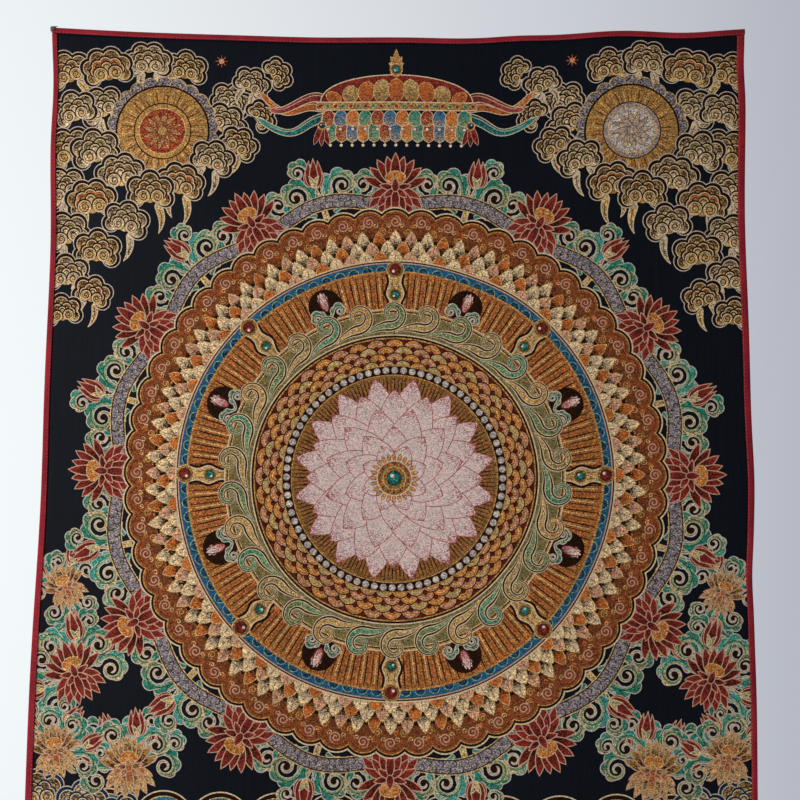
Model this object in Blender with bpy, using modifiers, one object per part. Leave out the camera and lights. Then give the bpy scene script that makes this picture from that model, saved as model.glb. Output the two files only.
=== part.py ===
"""A woven thangka wall hanging: one brocade panel whose four edges are bound with folded red strips.

Frame: +X is the viewer's right, +Z is up and the front faces -Y. The origin is the middle of the top edge.
A place on the cloth is given as it lies flat: across, from the middle line towards +X, and down, from the
top edge. The functions under "How the cloth hangs" take that flat place to its place in the hanging cloth.
"""

import math

import bmesh
import bpy
from mathutils import Vector

# Driving sizes, in metres.
WIDTH = 0.600  # over the bindings
HEIGHT = 0.900  # over the bindings
PANEL_THICKNESS = 0.0010
BINDING_THICKNESS = 0.0008
CLEARANCE = 0.0003  # between two pieces that are sewn together
CELL = 0.022  # about how far apart the mesh's lines are on the open cloth
FINER_ENDS = (0.0070, 0.0150)  # closer lines near an edge, measured in from it

# The panel ends inside the bindings' folds, where the round of the fold begins.
FOLD_RADIUS = PANEL_THICKNESS / 2 + CLEARANCE + BINDING_THICKNESS / 2
FOLD_STEPS = 4  # facets round the fold
FOLD_DEPTH = FOLD_RADIUS + BINDING_THICKNESS / 2
PANEL_INSET = FOLD_DEPTH + CLEARANCE

# How far each binding reaches over the front, at its two ends: the left one widens downwards and the
# right one, which is rolled further back lower down, narrows.
BINDING_WIDTHS = {
    # edge: (at the left or upper end, at the right or lower end)
    "top": (0.0050, 0.0054),
    "bottom": (0.0054, 0.0054),
    "left": (0.0048, 0.0062),
    "right": (0.0066, 0.0044),
}

# The cloth is held at its two top corners, so its top edge sags between them. The sag dies away downwards.
CORNER_RISE = 0.0080
SAG_LEFT_AT_HEM = 0.4  # share of the sag that the bottom edge still has

# Where the side edges draw in from straight, or swell out where drawn_in is negative.
SIDE_WAVES = (
    # edge, down, half_length, drawn_in
    ("left", 0.050, 0.042, 0.0032),
    ("left", 0.205, 0.115, 0.0054),
    ("left", 0.400, 0.110, 0.0044),
    ("right", 0.034, 0.022, 0.0014),
    ("right", 0.165, 0.075, 0.0023),
    ("right", 0.385, 0.040, -0.0014),
    ("right", 0.465, 0.022, 0.0010),
    ("right", 0.565, 0.060, -0.0011),
)

# Small lifts and dips of the top edge, besides its sag.
TOP_WAVES = (
    # across, half_length, lift
    (-0.070, 0.050, -0.0008),
    (0.060, 0.040, -0.0014),
    (0.105, 0.024, 0.0008),
    (0.190, 0.045, 0.0022),
    (0.250, 0.030, -0.0012),
)

# The soft folds. Each is a ridge or trough along its own line: lean is that line's angle from upright,
# positive where its top leans towards +X. A positive forward is a ridge towards the viewer.
FOLDS = (
    # name, across, down, lean_deg, half_length, half_width, forward
    ("belly_under_sag", 0.030, 0.090, 90.0, 0.200, 0.080, 0.0050),
    ("left_corner_drag", -0.215, 0.095, -48.0, 0.120, 0.036, 0.0034),
    ("right_corner_drag", 0.225, 0.085, 52.0, 0.110, 0.034, 0.0030),
    ("top_right_ripple", 0.190, 0.030, 4.0, 0.060, 0.034, 0.0024),
    ("left_edge_dimple", -0.280, 0.178, 0.0, 0.042, 0.022, -0.0022),
    ("right_edge_swell", 0.290, 0.405, 2.0, 0.055, 0.040, 0.0026),
    ("right_edge_roll", 0.300, 0.510, 0.0, 0.080, 0.026, -0.0024),
    ("left_flute", -0.165, 0.600, 4.0, 0.300, 0.075, 0.0048),
    ("middle_hollow", -0.010, 0.560, -2.0, 0.280, 0.070, -0.0026),
    ("right_flute", 0.150, 0.640, -5.0, 0.320, 0.080, 0.0055),
    ("hem_curl", 0.040, 0.900, 90.0, 0.240, 0.036, 0.0036),
)

NORMAL_STEP = 0.0005  # for the slope of the hanging cloth

CLOTH_COLOUR = (0.010, 0.013, 0.021, 1.0)
BINDING_COLOUR = (0.235, 0.016, 0.020, 1.0)


# How the cloth hangs


def bump(offset, half_size):
    """A soft hump, 1 in its middle and nearly gone at twice its half size."""
    return math.exp(-((offset / half_size) ** 2))


def draw_in(edge, down):
    """How far a side edge is drawn in from straight at that depth."""
    return sum(
        drawn_in * bump(down - at, half_length)
        for side, at, half_length, drawn_in in SIDE_WAVES
        if side == edge
    )


def fold_height(across, down):
    """How far the folds bring a place towards the viewer."""
    height = 0.0
    for _, fold_across, fold_down, lean_deg, half_length, half_width, forward in FOLDS:
        lean = math.radians(lean_deg)
        x, z = across - fold_across, fold_down - down
        along = x * math.sin(lean) + z * math.cos(lean)
        aside = x * math.cos(lean) - z * math.sin(lean)
        height += forward * bump(along, half_length) * bump(aside, half_width)
    return height


def mid_cloth(across, down):
    """The place in the hanging cloth, halfway through its thickness, of a place on the flat cloth."""
    side = across / (WIDTH / 2)
    from_left, from_right = (1 + side) / 2, (1 - side) / 2
    x = across + draw_in("left", down) * from_right**2 - draw_in("right", down) * from_left**2
    sag_kept = 1 - (1 - SAG_LEFT_AT_HEM) * down / HEIGHT
    waves = sum(lift * bump(across - at, half_length) for at, half_length, lift in TOP_WAVES)
    z = -down + (CORNER_RISE * side**2 + waves) * sag_kept
    return Vector((x, -fold_height(across, down), z))


ORIGIN = mid_cloth(0.0, 0.0)  # the frame's origin, before it is taken off


def on_cloth(across, down, proud=0.0):
    """A place that stands proud of mid cloth by so much, towards the viewer."""
    over = mid_cloth(across + NORMAL_STEP, down) - mid_cloth(across - NORMAL_STEP, down)
    drop = mid_cloth(across, down + NORMAL_STEP) - mid_cloth(across, down - NORMAL_STEP)
    return mid_cloth(across, down) - ORIGIN + drop.cross(over).normalized() * proud


# Building the pieces


def mesh_lines(start, end):
    """Where the panel's mesh lines lie between two outer edges: closer near each, and even in between."""
    ends = (PANEL_INSET,) + FINER_ENDS
    even_start, even_end = start + ends[-1], end - ends[-1]
    cells = round((even_end - even_start) / CELL)
    even = [even_start + (even_end - even_start) * i / cells for i in range(1, cells)]
    return [start + inset for inset in ends] + even + [end - inset for inset in reversed(ends)]


def sheet_object(name, columns, rows, place, thickness, material, collection):
    """An object of an open grid, laid by place(column, row), that Solidify gives its thickness."""
    mesh = bpy.data.meshes.new(name)
    shape = bmesh.new()
    last_column, last_row = len(columns) - 1, len(rows) - 1
    bmesh.ops.create_grid(shape, x_segments=last_column, y_segments=last_row, size=1.0)
    for vertex in shape.verts:
        column = round((vertex.co.x + 1) / 2 * last_column)
        row = round((vertex.co.y + 1) / 2 * last_row)
        vertex.co = place(columns[column], rows[row])
    shape.to_mesh(mesh)
    shape.free()
    mesh.shade_smooth()
    mesh.materials.append(material)
    piece = bpy.data.objects.new(name, mesh)
    collection.objects.link(piece)
    solidify = piece.modifiers.new("thickness", "SOLIDIFY")
    solidify.thickness = thickness
    solidify.offset = 0.0
    return piece


def fold_profile(width):
    """(inset from the outer edge, proud of mid cloth) round a folded strip, from its front rim to its back."""
    turns = [math.pi * step / FOLD_STEPS for step in range(FOLD_STEPS + 1)]
    fold = [
        (FOLD_DEPTH - FOLD_RADIUS * math.sin(turn), FOLD_RADIUS * math.cos(turn))
        for turn in turns
    ]
    return [(width, FOLD_RADIUS)] + fold + [(width, -FOLD_RADIUS)]


def make_panel(material, collection):
    """The woven panel, one sheet whose edges lie inside the bindings."""
    columns = mesh_lines(-WIDTH / 2, WIDTH / 2)
    rows = mesh_lines(0.0, HEIGHT)
    sheet_object("woven_panel", columns, rows, on_cloth, PANEL_THICKNESS, material, collection)


def make_binding(edge, material, collection):
    """One folded strip over an edge. The top and bottom ones run the whole width, with the sides between."""
    if edge in ("top", "bottom"):
        first, last = -WIDTH / 2, WIDTH / 2
        shared = mesh_lines(first, last)
    else:
        first = max(BINDING_WIDTHS["top"]) + CLEARANCE
        last = HEIGHT - max(BINDING_WIDTHS["bottom"]) - CLEARANCE
        shared = mesh_lines(0.0, HEIGHT)
    along_places = [first] + [place for place in shared if first < place < last] + [last]
    first_width, last_width = BINDING_WIDTHS[edge]

    def place(along, point):
        width = first_width + (last_width - first_width) * (along - first) / (last - first)
        inset, proud = fold_profile(width)[point]
        across, down = {
            "top": (along, inset),
            "bottom": (along, HEIGHT - inset),
            "left": (inset - WIDTH / 2, along),
            "right": (WIDTH / 2 - inset, along),
        }[edge]
        return on_cloth(across, down, proud)

    points = range(len(fold_profile(first_width)))
    sheet_object(
        "binding_" + edge, along_places, points, place, BINDING_THICKNESS, material, collection
    )


def cloth_material(name, colour, roughness):
    """A plain woven cloth's material."""
    material = bpy.data.materials.new(name)
    material.use_nodes = True
    shader = material.node_tree.nodes["Principled BSDF"]
    shader.inputs["Base Color"].default_value = colour
    shader.inputs["Roughness"].default_value = roughness
    shader.inputs["Metallic"].default_value = 0.0
    material.diffuse_color = colour
    return material


def main():
    for old in list(bpy.data.objects):
        bpy.data.objects.remove(old)
    collection = bpy.data.collections.new("thangka_wall_hanging")
    bpy.context.scene.collection.children.link(collection)
    make_panel(cloth_material("navy_brocade", CLOTH_COLOUR, 0.7), collection)
    binding_material = cloth_material("red_binding", BINDING_COLOUR, 0.75)
    for edge in BINDING_WIDTHS:
        make_binding(edge, binding_material, collection)


main()
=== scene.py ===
"""The looks of a woven thangka wall hanging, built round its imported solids.

The hanging is one cut of brocade, of silk and gold film yarns, whose four edges are bound with folded red
strips. The woven design is drawn here as areas of yarn, in millimetres, on the cloth as it lies flat. One
triangulation cuts all the areas out of each other, so each spot of the cloth shows one area, as on a loom,
and the result is then laid on the hanging cloth. The design is a generic wheel-and-lotus roundel with a
canopy, clouds, scroll leaves and water.
"""

import cmath
import logging
import math
from dataclasses import dataclass, replace
from enum import Enum
from typing import Callable, Iterator, Optional, Sequence

import bpy
import numpy as np
from mathutils import Matrix, Vector
from mathutils.geometry import delaunay_2d_cdt

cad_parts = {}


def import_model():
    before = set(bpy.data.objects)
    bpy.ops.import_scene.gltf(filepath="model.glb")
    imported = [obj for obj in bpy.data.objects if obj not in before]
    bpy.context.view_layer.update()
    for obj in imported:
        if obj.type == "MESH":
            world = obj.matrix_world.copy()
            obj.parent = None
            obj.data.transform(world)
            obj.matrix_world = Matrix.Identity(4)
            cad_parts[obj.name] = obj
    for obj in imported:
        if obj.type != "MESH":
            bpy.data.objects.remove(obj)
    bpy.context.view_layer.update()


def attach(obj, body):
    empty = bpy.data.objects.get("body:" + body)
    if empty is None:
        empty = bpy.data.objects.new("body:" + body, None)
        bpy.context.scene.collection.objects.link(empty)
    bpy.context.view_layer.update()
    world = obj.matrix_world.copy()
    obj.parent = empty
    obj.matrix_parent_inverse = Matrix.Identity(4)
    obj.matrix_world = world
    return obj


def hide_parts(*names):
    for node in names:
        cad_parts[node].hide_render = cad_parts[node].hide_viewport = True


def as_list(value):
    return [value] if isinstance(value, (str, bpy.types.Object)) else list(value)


LOG = logging.getLogger("thangka")
MM = 0.001
NORMAL_STEP = 0.0005  # metres, for the slope of the hanging cloth


# ------------------------------ the cloth's shape


class Edge(Enum):
    """The cloth's four edges."""

    TOP = "top"
    BOTTOM = "bottom"
    LEFT = "left"
    RIGHT = "right"


def bump(offset: np.ndarray, half_size: float) -> np.ndarray:
    """Gives a soft hump, 1 in its middle and nearly gone at twice its half size."""
    return np.exp(-((offset / half_size) ** 2))


@dataclass(frozen=True)
class HangingCloth:
    """The surface in which the cloth hangs, in metres, with the values that its solids have."""

    width: float = 0.600
    height: float = 0.900
    corner_rise: float = 0.0080
    sag_left_at_hem: float = 0.4
    side_waves: tuple = (
        # edge, down, half_length, drawn_in
        (Edge.LEFT, 0.050, 0.042, 0.0032),
        (Edge.LEFT, 0.205, 0.115, 0.0054),
        (Edge.LEFT, 0.400, 0.110, 0.0044),
        (Edge.RIGHT, 0.034, 0.022, 0.0014),
        (Edge.RIGHT, 0.165, 0.075, 0.0023),
        (Edge.RIGHT, 0.385, 0.040, -0.0014),
        (Edge.RIGHT, 0.465, 0.022, 0.0010),
        (Edge.RIGHT, 0.565, 0.060, -0.0011),
    )
    top_waves: tuple = (
        # across, half_length, lift
        (-0.070, 0.050, -0.0008),
        (0.060, 0.040, -0.0014),
        (0.105, 0.024, 0.0008),
        (0.190, 0.045, 0.0022),
        (0.250, 0.030, -0.0012),
    )
    folds: tuple = (
        # across, down, lean_deg, half_length, half_width, forward
        (0.030, 0.090, 90.0, 0.200, 0.080, 0.0050),
        (-0.215, 0.095, -48.0, 0.120, 0.036, 0.0034),
        (0.225, 0.085, 52.0, 0.110, 0.034, 0.0030),
        (0.190, 0.030, 4.0, 0.060, 0.034, 0.0024),
        (-0.280, 0.178, 0.0, 0.042, 0.022, -0.0022),
        (0.290, 0.405, 2.0, 0.055, 0.040, 0.0026),
        (0.300, 0.510, 0.0, 0.080, 0.026, -0.0024),
        (-0.165, 0.600, 4.0, 0.300, 0.075, 0.0048),
        (-0.010, 0.560, -2.0, 0.280, 0.070, -0.0026),
        (0.150, 0.640, -5.0, 0.320, 0.080, 0.0055),
        (0.040, 0.900, 90.0, 0.240, 0.036, 0.0036),
    )

    def mid(self, across: np.ndarray, down: np.ndarray) -> np.ndarray:
        """Gives places halfway through the hanging cloth.

        Args:
            across: how far right of the middle line each place lies on the flat cloth.
            down: how far each place lies below the top edge.

        Returns:
            The places, one row of x, y and z each, before the origin is taken off.
        """
        side = across / (self.width / 2)
        pulls = {Edge.LEFT: 0.0, Edge.RIGHT: 0.0}
        for edge, at, half_length, drawn_in in self.side_waves:
            pulls[edge] = pulls[edge] + drawn_in * bump(down - at, half_length)
        left, right = pulls.values()
        x = across + left * ((1 - side) / 2) ** 2 - right * ((1 + side) / 2) ** 2
        kept = 1 - (1 - self.sag_left_at_hem) * down / self.height
        waves = sum(lift * bump(across - at, half_length) for at, half_length, lift in self.top_waves)
        z = -down + (self.corner_rise * side**2 + waves) * kept
        forward = 0.0
        for fold_across, fold_down, lean_deg, half_length, half_width, height in self.folds:
            lean = math.radians(lean_deg)
            off_x, off_z = across - fold_across, fold_down - down
            along = off_x * math.sin(lean) + off_z * math.cos(lean)
            aside = off_x * math.cos(lean) - off_z * math.sin(lean)
            forward = forward + height * bump(along, half_length) * bump(aside, half_width)
        return np.stack([x, -forward, z], axis=-1)

    def place(self, across: np.ndarray, down: np.ndarray, proud: np.ndarray | float = 0.0) -> np.ndarray:
        """Gives places that stand proud of mid cloth by so much, towards the viewer.

        Args:
            across: how far right of the middle line each place lies on the flat cloth.
            down: how far each place lies below the top edge.
            proud: how far each place stands out along the cloth's own normal.

        Returns:
            The places in the row frame, one row each.
        """
        across, down = np.broadcast_arrays(np.asarray(across, float), np.asarray(down, float))
        over = self.mid(across + NORMAL_STEP, down) - self.mid(across - NORMAL_STEP, down)
        drop = self.mid(across, down + NORMAL_STEP) - self.mid(across, down - NORMAL_STEP)
        normal = np.cross(drop, over)
        normal /= np.linalg.norm(normal, axis=-1, keepdims=True)
        origin = self.mid(np.zeros(1), np.zeros(1))[0]
        places = self.mid(across, down) - origin + normal * np.asarray(proud)[..., None]
        return places.reshape(-1, 3)


# ------------------------------ yarns and fills


class Yarn(Enum):
    """The yarns on the loom, as sRGB hex values. The golds are metallised film, and the rest is silk."""

    SOOT = "#24130a"
    CREAM = "#dcc099"
    IVORY = "#e8d7bf"
    STRAW = "#caa66e"
    GOLD = "#b5874c"
    OLD_GOLD = "#856137"
    OLIVE = "#7f7048"
    MOSS = "#585a38"
    ORANGE = "#be6a35"
    RUST = "#96502e"
    BROWN = "#502f1b"
    PEACH = "#cd9a7e"
    BLUSH = "#dcc2ba"
    PETAL = "#cda79e"
    ROSE = "#a34a4a"
    WINE = "#561e1b"
    RED = "#883029"
    TEAL = "#2a7a6a"
    DEEP_TEAL = "#174640"
    SEA = "#3a8f86"
    SAGE = "#7f9a70"
    BLUE = "#285f86"
    DEEP_BLUE = "#132c44"
    MIST = "#978e90"
    SILVER = "#c7b7a5"
    PLUM = "#4a3a46"


FILM_YARNS = {Yarn.GOLD, Yarn.OLD_GOLD, Yarn.STRAW, Yarn.OLIVE}
FINE_YARNS = {Yarn.CREAM, Yarn.SILVER, Yarn.PEACH, Yarn.IVORY, Yarn.BLUSH}


class Weave(Enum):
    """How an area's floats look, as the number of their material."""

    SILK = 0
    FILM = 1
    FINE = 2


@dataclass(frozen=True)
class Fill:
    """How one area is woven.

    Each float shows the first yarn or the second, and the share of the second one goes from low at the
    area's heart to high at its reach.
    """

    first: Yarn
    second: Yarn
    low: float = 0.0
    high: float = 1.0
    round_heart: bool = False  # the share goes by distance from the heart, and not along one direction

    @property
    def weave(self) -> Weave:
        """Tells how the area is woven.

        Returns:
            FINE where it is pale silk, FILM where both its yarns are film, and else SILK.
        """
        if self.first in FINE_YARNS:
            return Weave.FINE
        return Weave.FILM if {self.first, self.second} <= FILM_YARNS else Weave.SILK


def stone(first: Yarn, second: Yarn, low: float = 0.0, high: float = 1.0) -> Fill:
    """Gives a fill that goes from one yarn in the middle to another at the rim."""
    return Fill(first, second, low, high, True)


Shade = Yarn | Fill  # one yarn alone, or two mixed
OUTLINE = Yarn.CREAM
RIM = Yarn.SILVER  # round clouds and leaves
FINE_LINE = 0.7  # mm, the usual woven outline: two picks
THINNEST = 0.12  # mm: a blade isn't drawn where it is narrower
TIP_REACH = 1.6  # how far a pointed end moves for each millimetre that its sides move
BLUNTEST = 0.6  # a let-out corner's cosine counts as no less than this, so that it grows no spike
CLOSEST = 0.03  # mm, between two places round an outline
SMALLEST = 0.15  # mm², the least area that is woven


@dataclass
class Patch:
    """One area of the design on the flat cloth. A complex number is a place: across, and up from the top."""

    outline: np.ndarray
    fill: Fill
    heart: complex
    reach: complex
    piece: str


# ------------------------------ plane geometry


def turned(degrees: float) -> complex:
    """Gives the factor that turns a place anticlockwise."""
    return cmath.exp(1j * math.radians(degrees))


def sweep(length: float, turn_deg: float = 0.0, tighten: float = 1.0, count: int = 12) -> np.ndarray:
    """Gives a path from 0 that sets off along the real axis and bends.

    Args:
        length: the path's length.
        turn_deg: how far its direction has turned at the end.
        tighten: 1 for an arc, and more for a path that curls up towards its end.
        count: how many steps it has.

    Returns:
        The places along the path.
    """
    u = (np.arange(count) + 0.5) / count
    steps = np.exp(1j * math.radians(turn_deg) * u**tighten) * (length / count)
    return np.concatenate([[0], np.cumsum(steps)])


def swell(count: int, rise: float, fall: float) -> np.ndarray:
    """Gives widths along a blade, from 0 to 1 and back to 0.

    Args:
        count: how many steps the blade has.
        rise: how it opens: under 1 is round, and 1 is pointed.
        fall: how it closes: under 1 is round, 1 is pointed, and over 1 is drawn out.

    Returns:
        One width for each place on the blade's spine.
    """
    u = np.linspace(0.0, 1.0, count + 1)
    peak = rise / (rise + fall)
    return u**rise * (1 - u) ** fall / (peak**rise * (1 - peak) ** fall)


def units(steps: np.ndarray) -> np.ndarray:
    """Gives each step's direction."""
    return steps / np.maximum(np.abs(steps), 1e-9)


def leftwards(path: np.ndarray) -> np.ndarray:
    """Gives the direction to the left of a path at each of its places."""
    return 1j * units(np.gradient(path))


def blade(spine: np.ndarray, left: np.ndarray, right: np.ndarray, extra: float = 0.0) -> Optional[np.ndarray]:
    """Gives the outline of a blade, which is a spine with a width on either side.

    Args:
        spine: the places along its middle.
        left: how wide it is on the left of its spine at each place.
        right: how wide it is on the right.
        extra: how far the outline is let out all round, or taken in where it is negative.

    Returns:
        The outline, or None where taking it in leaves nothing.
    """
    side = leftwards(spine)
    along = -1j * side
    closed = left + right < THINNEST
    left, right = left + extra, right + extra
    reach = TIP_REACH * extra
    if extra > 0:
        spine = np.concatenate([[spine[0] - extra * along[0]], spine, [spine[-1] + reach * along[-1]]])
        side = np.concatenate([side[:1], side, side[-1:]])
        left, right = (np.concatenate([[0], half, [0]]) for half in (left, right))
    else:
        keep = left + right > THINNEST
        if keep.sum() < 3:
            return None
        # An end that closes to a point stays one, and moves in along the spine.
        spine = spine.copy()
        for end, way in ((0, -1), (-1, 1)):
            if closed[end]:
                keep &= np.abs(spine - spine[end]) > -reach
                keep[end] = True
                spine[end] += way * reach * along[end]
        spine, side, left, right = spine[keep], side[keep], left[keep].clip(0), right[keep].clip(0)
    return np.concatenate([spine + side * left, (spine - side * right)[::-1]])


def area_of(outline: np.ndarray) -> float:
    """Gives the area inside an outline, negative where it runs clockwise."""
    return float(np.imag(np.conj(outline) * np.roll(outline, -1)).sum() / 2)


def grown(outline: np.ndarray, by: float) -> np.ndarray:
    """Moves a closed outline out or in.

    Args:
        outline: the places round it.
        by: how far it goes out, or in where this is negative.

    Returns:
        The new outline.
    """
    before, after = units(outline - np.roll(outline, 1)), units(np.roll(outline, -1) - outline)
    along = units(before + after)
    mitre = 1 / np.maximum(np.real(np.conj(along) * after), BLUNTEST)
    return outline - 1j * along * mitre * by * math.copysign(1, area_of(outline))


def circle(centre: complex, radius: float) -> np.ndarray:
    """Gives a circle's outline, with a place about every 2.2 mm and at least ten."""
    count = int(min(max(10, 2 * math.pi * radius / 2.2), 360))
    return centre + radius * np.exp(2j * np.pi * np.arange(count) / count)


def spiral(radius: float, turns: float, start_deg: float = 0.0) -> np.ndarray:
    """Gives a path that winds in from a radius to near its middle."""
    u = np.linspace(0, 1, max(8, round(12 * turns)))
    return radius * (1 - 0.86 * u) * np.exp(1j * (math.radians(start_deg) + 2 * np.pi * turns * u))


def arch(radius: float, half_deg: float, centre: complex = 0j, crown: complex = 1 + 0j) -> np.ndarray:
    """Gives an arc round a centre, whose middle lies towards the crown."""
    return centre + radius * crown * np.exp(1j * np.radians(np.linspace(-half_deg, half_deg, 9)))


def straight(start: float, end: float, count: int) -> np.ndarray:
    """Gives a straight path along the real axis."""
    return np.linspace(start, end, count) + 0j


# ------------------------------ pen


@dataclass(frozen=True)
class Pen:
    """Draws areas of the design in its own place: a factor turns and sizes it, and a centre moves it."""

    patches: list
    piece: str
    centre: complex = 0j
    factor: complex = 1 + 0j
    mirrored: bool = False

    def cloth(self, places: np.ndarray | complex) -> np.ndarray | complex:
        """Takes the pen's places to the flat cloth's."""
        return self.centre + self.factor * (np.conj(places) if self.mirrored else places)

    def at(self, to: complex = 0j, turn_deg: float = 0.0, size: float = 1.0, mirror: bool = False) -> "Pen":
        """Gives a pen with its own place inside this one's.

        Args:
            to: its centre, in this pen's places.
            turn_deg: how far it is turned.
            size: how much larger it draws.
            mirror: whether it draws left for right of its own real axis.

        Returns:
            The new pen.
        """
        factor = size * turned(turn_deg)
        factor = self.factor * (factor.conjugate() if self.mirrored else factor)
        return replace(self, centre=complex(self.cloth(to)), factor=factor, mirrored=self.mirrored ^ mirror)

    def on(self, piece: str) -> "Pen":
        """Gives a pen in the same place that draws on another piece."""
        return replace(self, piece=piece)

    def sides(self) -> Iterator["Pen"]:
        """Gives this pen, and then one that draws the same on the other side of its upright line."""
        yield self
        yield self.at(turn_deg=180, mirror=True)

    def round(self, count: int, radius: float = 0.0, start_deg: float = 90.0) -> Iterator["Pen"]:
        """Gives pens evenly round a circle, each with its real axis pointing outwards.

        Args:
            count: how many there are.
            radius: the circle's.
            start_deg: the first one's direction.

        Yields:
            One pen after the other.
        """
        for k in range(count):
            turn = start_deg + 360 * k / count
            yield self.at(radius * turned(turn), turn)

    def lay(self, outline: Optional[np.ndarray], fill: Shade, heart: complex = 0, reach: complex = 1) -> None:
        """Lays one area over what is drawn so far, as shape does, but bare of an outline.

        Args:
            outline: the places round it, or None for no area.
            fill: how it is woven.
            heart: where the fill's share is low.
            reach: where it is high.
        """
        if outline is None:
            return
        places = self.cloth(outline)
        places = places[np.abs(places - np.roll(places, 1)) > CLOSEST]
        if len(places) < 3 or abs(area_of(places)) < SMALLEST:
            return
        if area_of(places) < 0:
            places = places[::-1]
        # It starts on a long side, because the triangulation fills an area from its first edge.
        places = np.roll(places, -(len(places) // 4))
        fill = fill if isinstance(fill, Fill) else Fill(fill, fill)
        heart, reach = complex(self.cloth(heart)), complex(self.cloth(reach))
        self.patches.append(Patch(places, fill, heart, reach, self.piece))

    def shape(
        self, outline: np.ndarray, fill: Shade, heart: complex, reach: complex,
        edge: Shade = OUTLINE, line: float = FINE_LINE,
    ) -> None:
        """Lays any closed area with an outline woven round it.

        Args:
            outline: the places along the middle of the woven outline.
            fill: how it is woven inside.
            heart: where the fill's share is low.
            reach: where it is high.
            edge: how its outline is woven.
            line: its outline's width.
        """
        self.lay(grown(outline, line / 2), edge)
        self.lay(grown(outline, -line / 2), fill, heart, reach)

    def disc(
        self, radius: float, fill: Shade,
        edge: Optional[Shade] = OUTLINE, line: float = FINE_LINE, centre: complex = 0j,
    ) -> None:
        """Lays a round area with an outline woven round it.

        Args:
            radius: to the middle of the woven outline.
            fill: how it is woven inside, from its centre to its rim.
            edge: how its outline is woven, or None for no outline.
            line: its outline's width.
            centre: its centre.
        """
        if edge:
            self.lay(circle(centre, radius + line / 2), edge)
            radius -= line / 2
        self.lay(circle(centre, radius), fill, centre, centre + radius)

    def blade(
        self, spine: np.ndarray, left: np.ndarray, fill: Shade, right: Optional[np.ndarray] = None,
        edge: Shade = OUTLINE, line: float = FINE_LINE, ends: Optional[tuple] = None,
    ) -> None:
        """Lays a petal, leaf or ribbon along a spine, with an outline woven round it.

        Args:
            spine: the places along its middle.
            left: how wide it is on the left at each place.
            fill: how it is woven.
            right: how wide it is on the right, or None for the same.
            edge: how its outline is woven.
            line: its outline's width.
            ends: the fill's heart and reach, or None for the spine's two ends.
        """
        right = left if right is None else right
        self.lay(blade(spine, left, right, line / 2), edge)
        self.lay(blade(spine, left, right, -line / 2), fill, *(ends or (spine[0], spine[-1])))

    def line(self, path: np.ndarray, fill: Shade, width: float = FINE_LINE, ends: float = 0.35) -> None:
        """Lays a line that is drawn finer towards its ends.

        Args:
            path: the places along it.
            fill: how it is woven, from its start to its end.
            width: across its middle.
            ends: what share of that its ends have.
        """
        u = np.linspace(-1, 1, len(path))
        half = width / 2 * (ends + (1 - ends) * (1 - u**4))
        self.lay(blade(path, half, half), fill, path[0], path[-1])


# ------------------------------ motifs


def petal(
    pen: Pen, length: float, width: float, fill: Shade, tip: float = 1.0, bend_deg: float = 0.0,
    edge: Shade = OUTLINE, line: float = FINE_LINE, veins: int = 0, vein: Yarn = Yarn.BROWN, steps: int = 10,
) -> None:
    """Draws one petal out along the pen's real axis.

    Args:
        pen: the pen, at the petal's base.
        length: from base to tip.
        width: across its widest.
        fill: how it is woven, from base to tip.
        tip: how pointed it is, as swell's fall.
        bend_deg: how far it bends over its length.
        edge: how its outline is woven.
        line: its outline's width.
        veins: how many fine lines run up it.
        vein: their yarn.
        steps: how many steps its sides have.
    """
    spine = sweep(length, bend_deg, 1.4, steps)
    half = width / 2 * swell(steps, 0.62, tip)
    pen.blade(spine, half, fill, edge=edge, line=line)
    side = leftwards(spine)
    for k in range(veins):
        share = (2 * (k + 0.5) / veins - 1) * 0.72
        last = steps - 2 - round(3 * abs(share))
        pen.line((spine + side * half * share)[1 : last + 1 : 2], vein, 0.55, 0.2)


class FlowerShade(Enum):
    """A flower's fills: its hindmost petals', its middle petals' and its front petals'."""

    WINE = (
        Fill(Yarn.SOOT, Yarn.RED, -0.4, 0.9),
        Fill(Yarn.SOOT, Yarn.RED, -0.3, 1.2),
        Fill(Yarn.WINE, Yarn.RED, -0.3, 1.4),
    )
    GOLD = (
        Fill(Yarn.SOOT, Yarn.GOLD, -0.4, 1.0),
        Fill(Yarn.BROWN, Yarn.STRAW, -0.5, 1.1),
        Fill(Yarn.RUST, Yarn.STRAW, -0.4, 1.2),
    )


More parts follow.
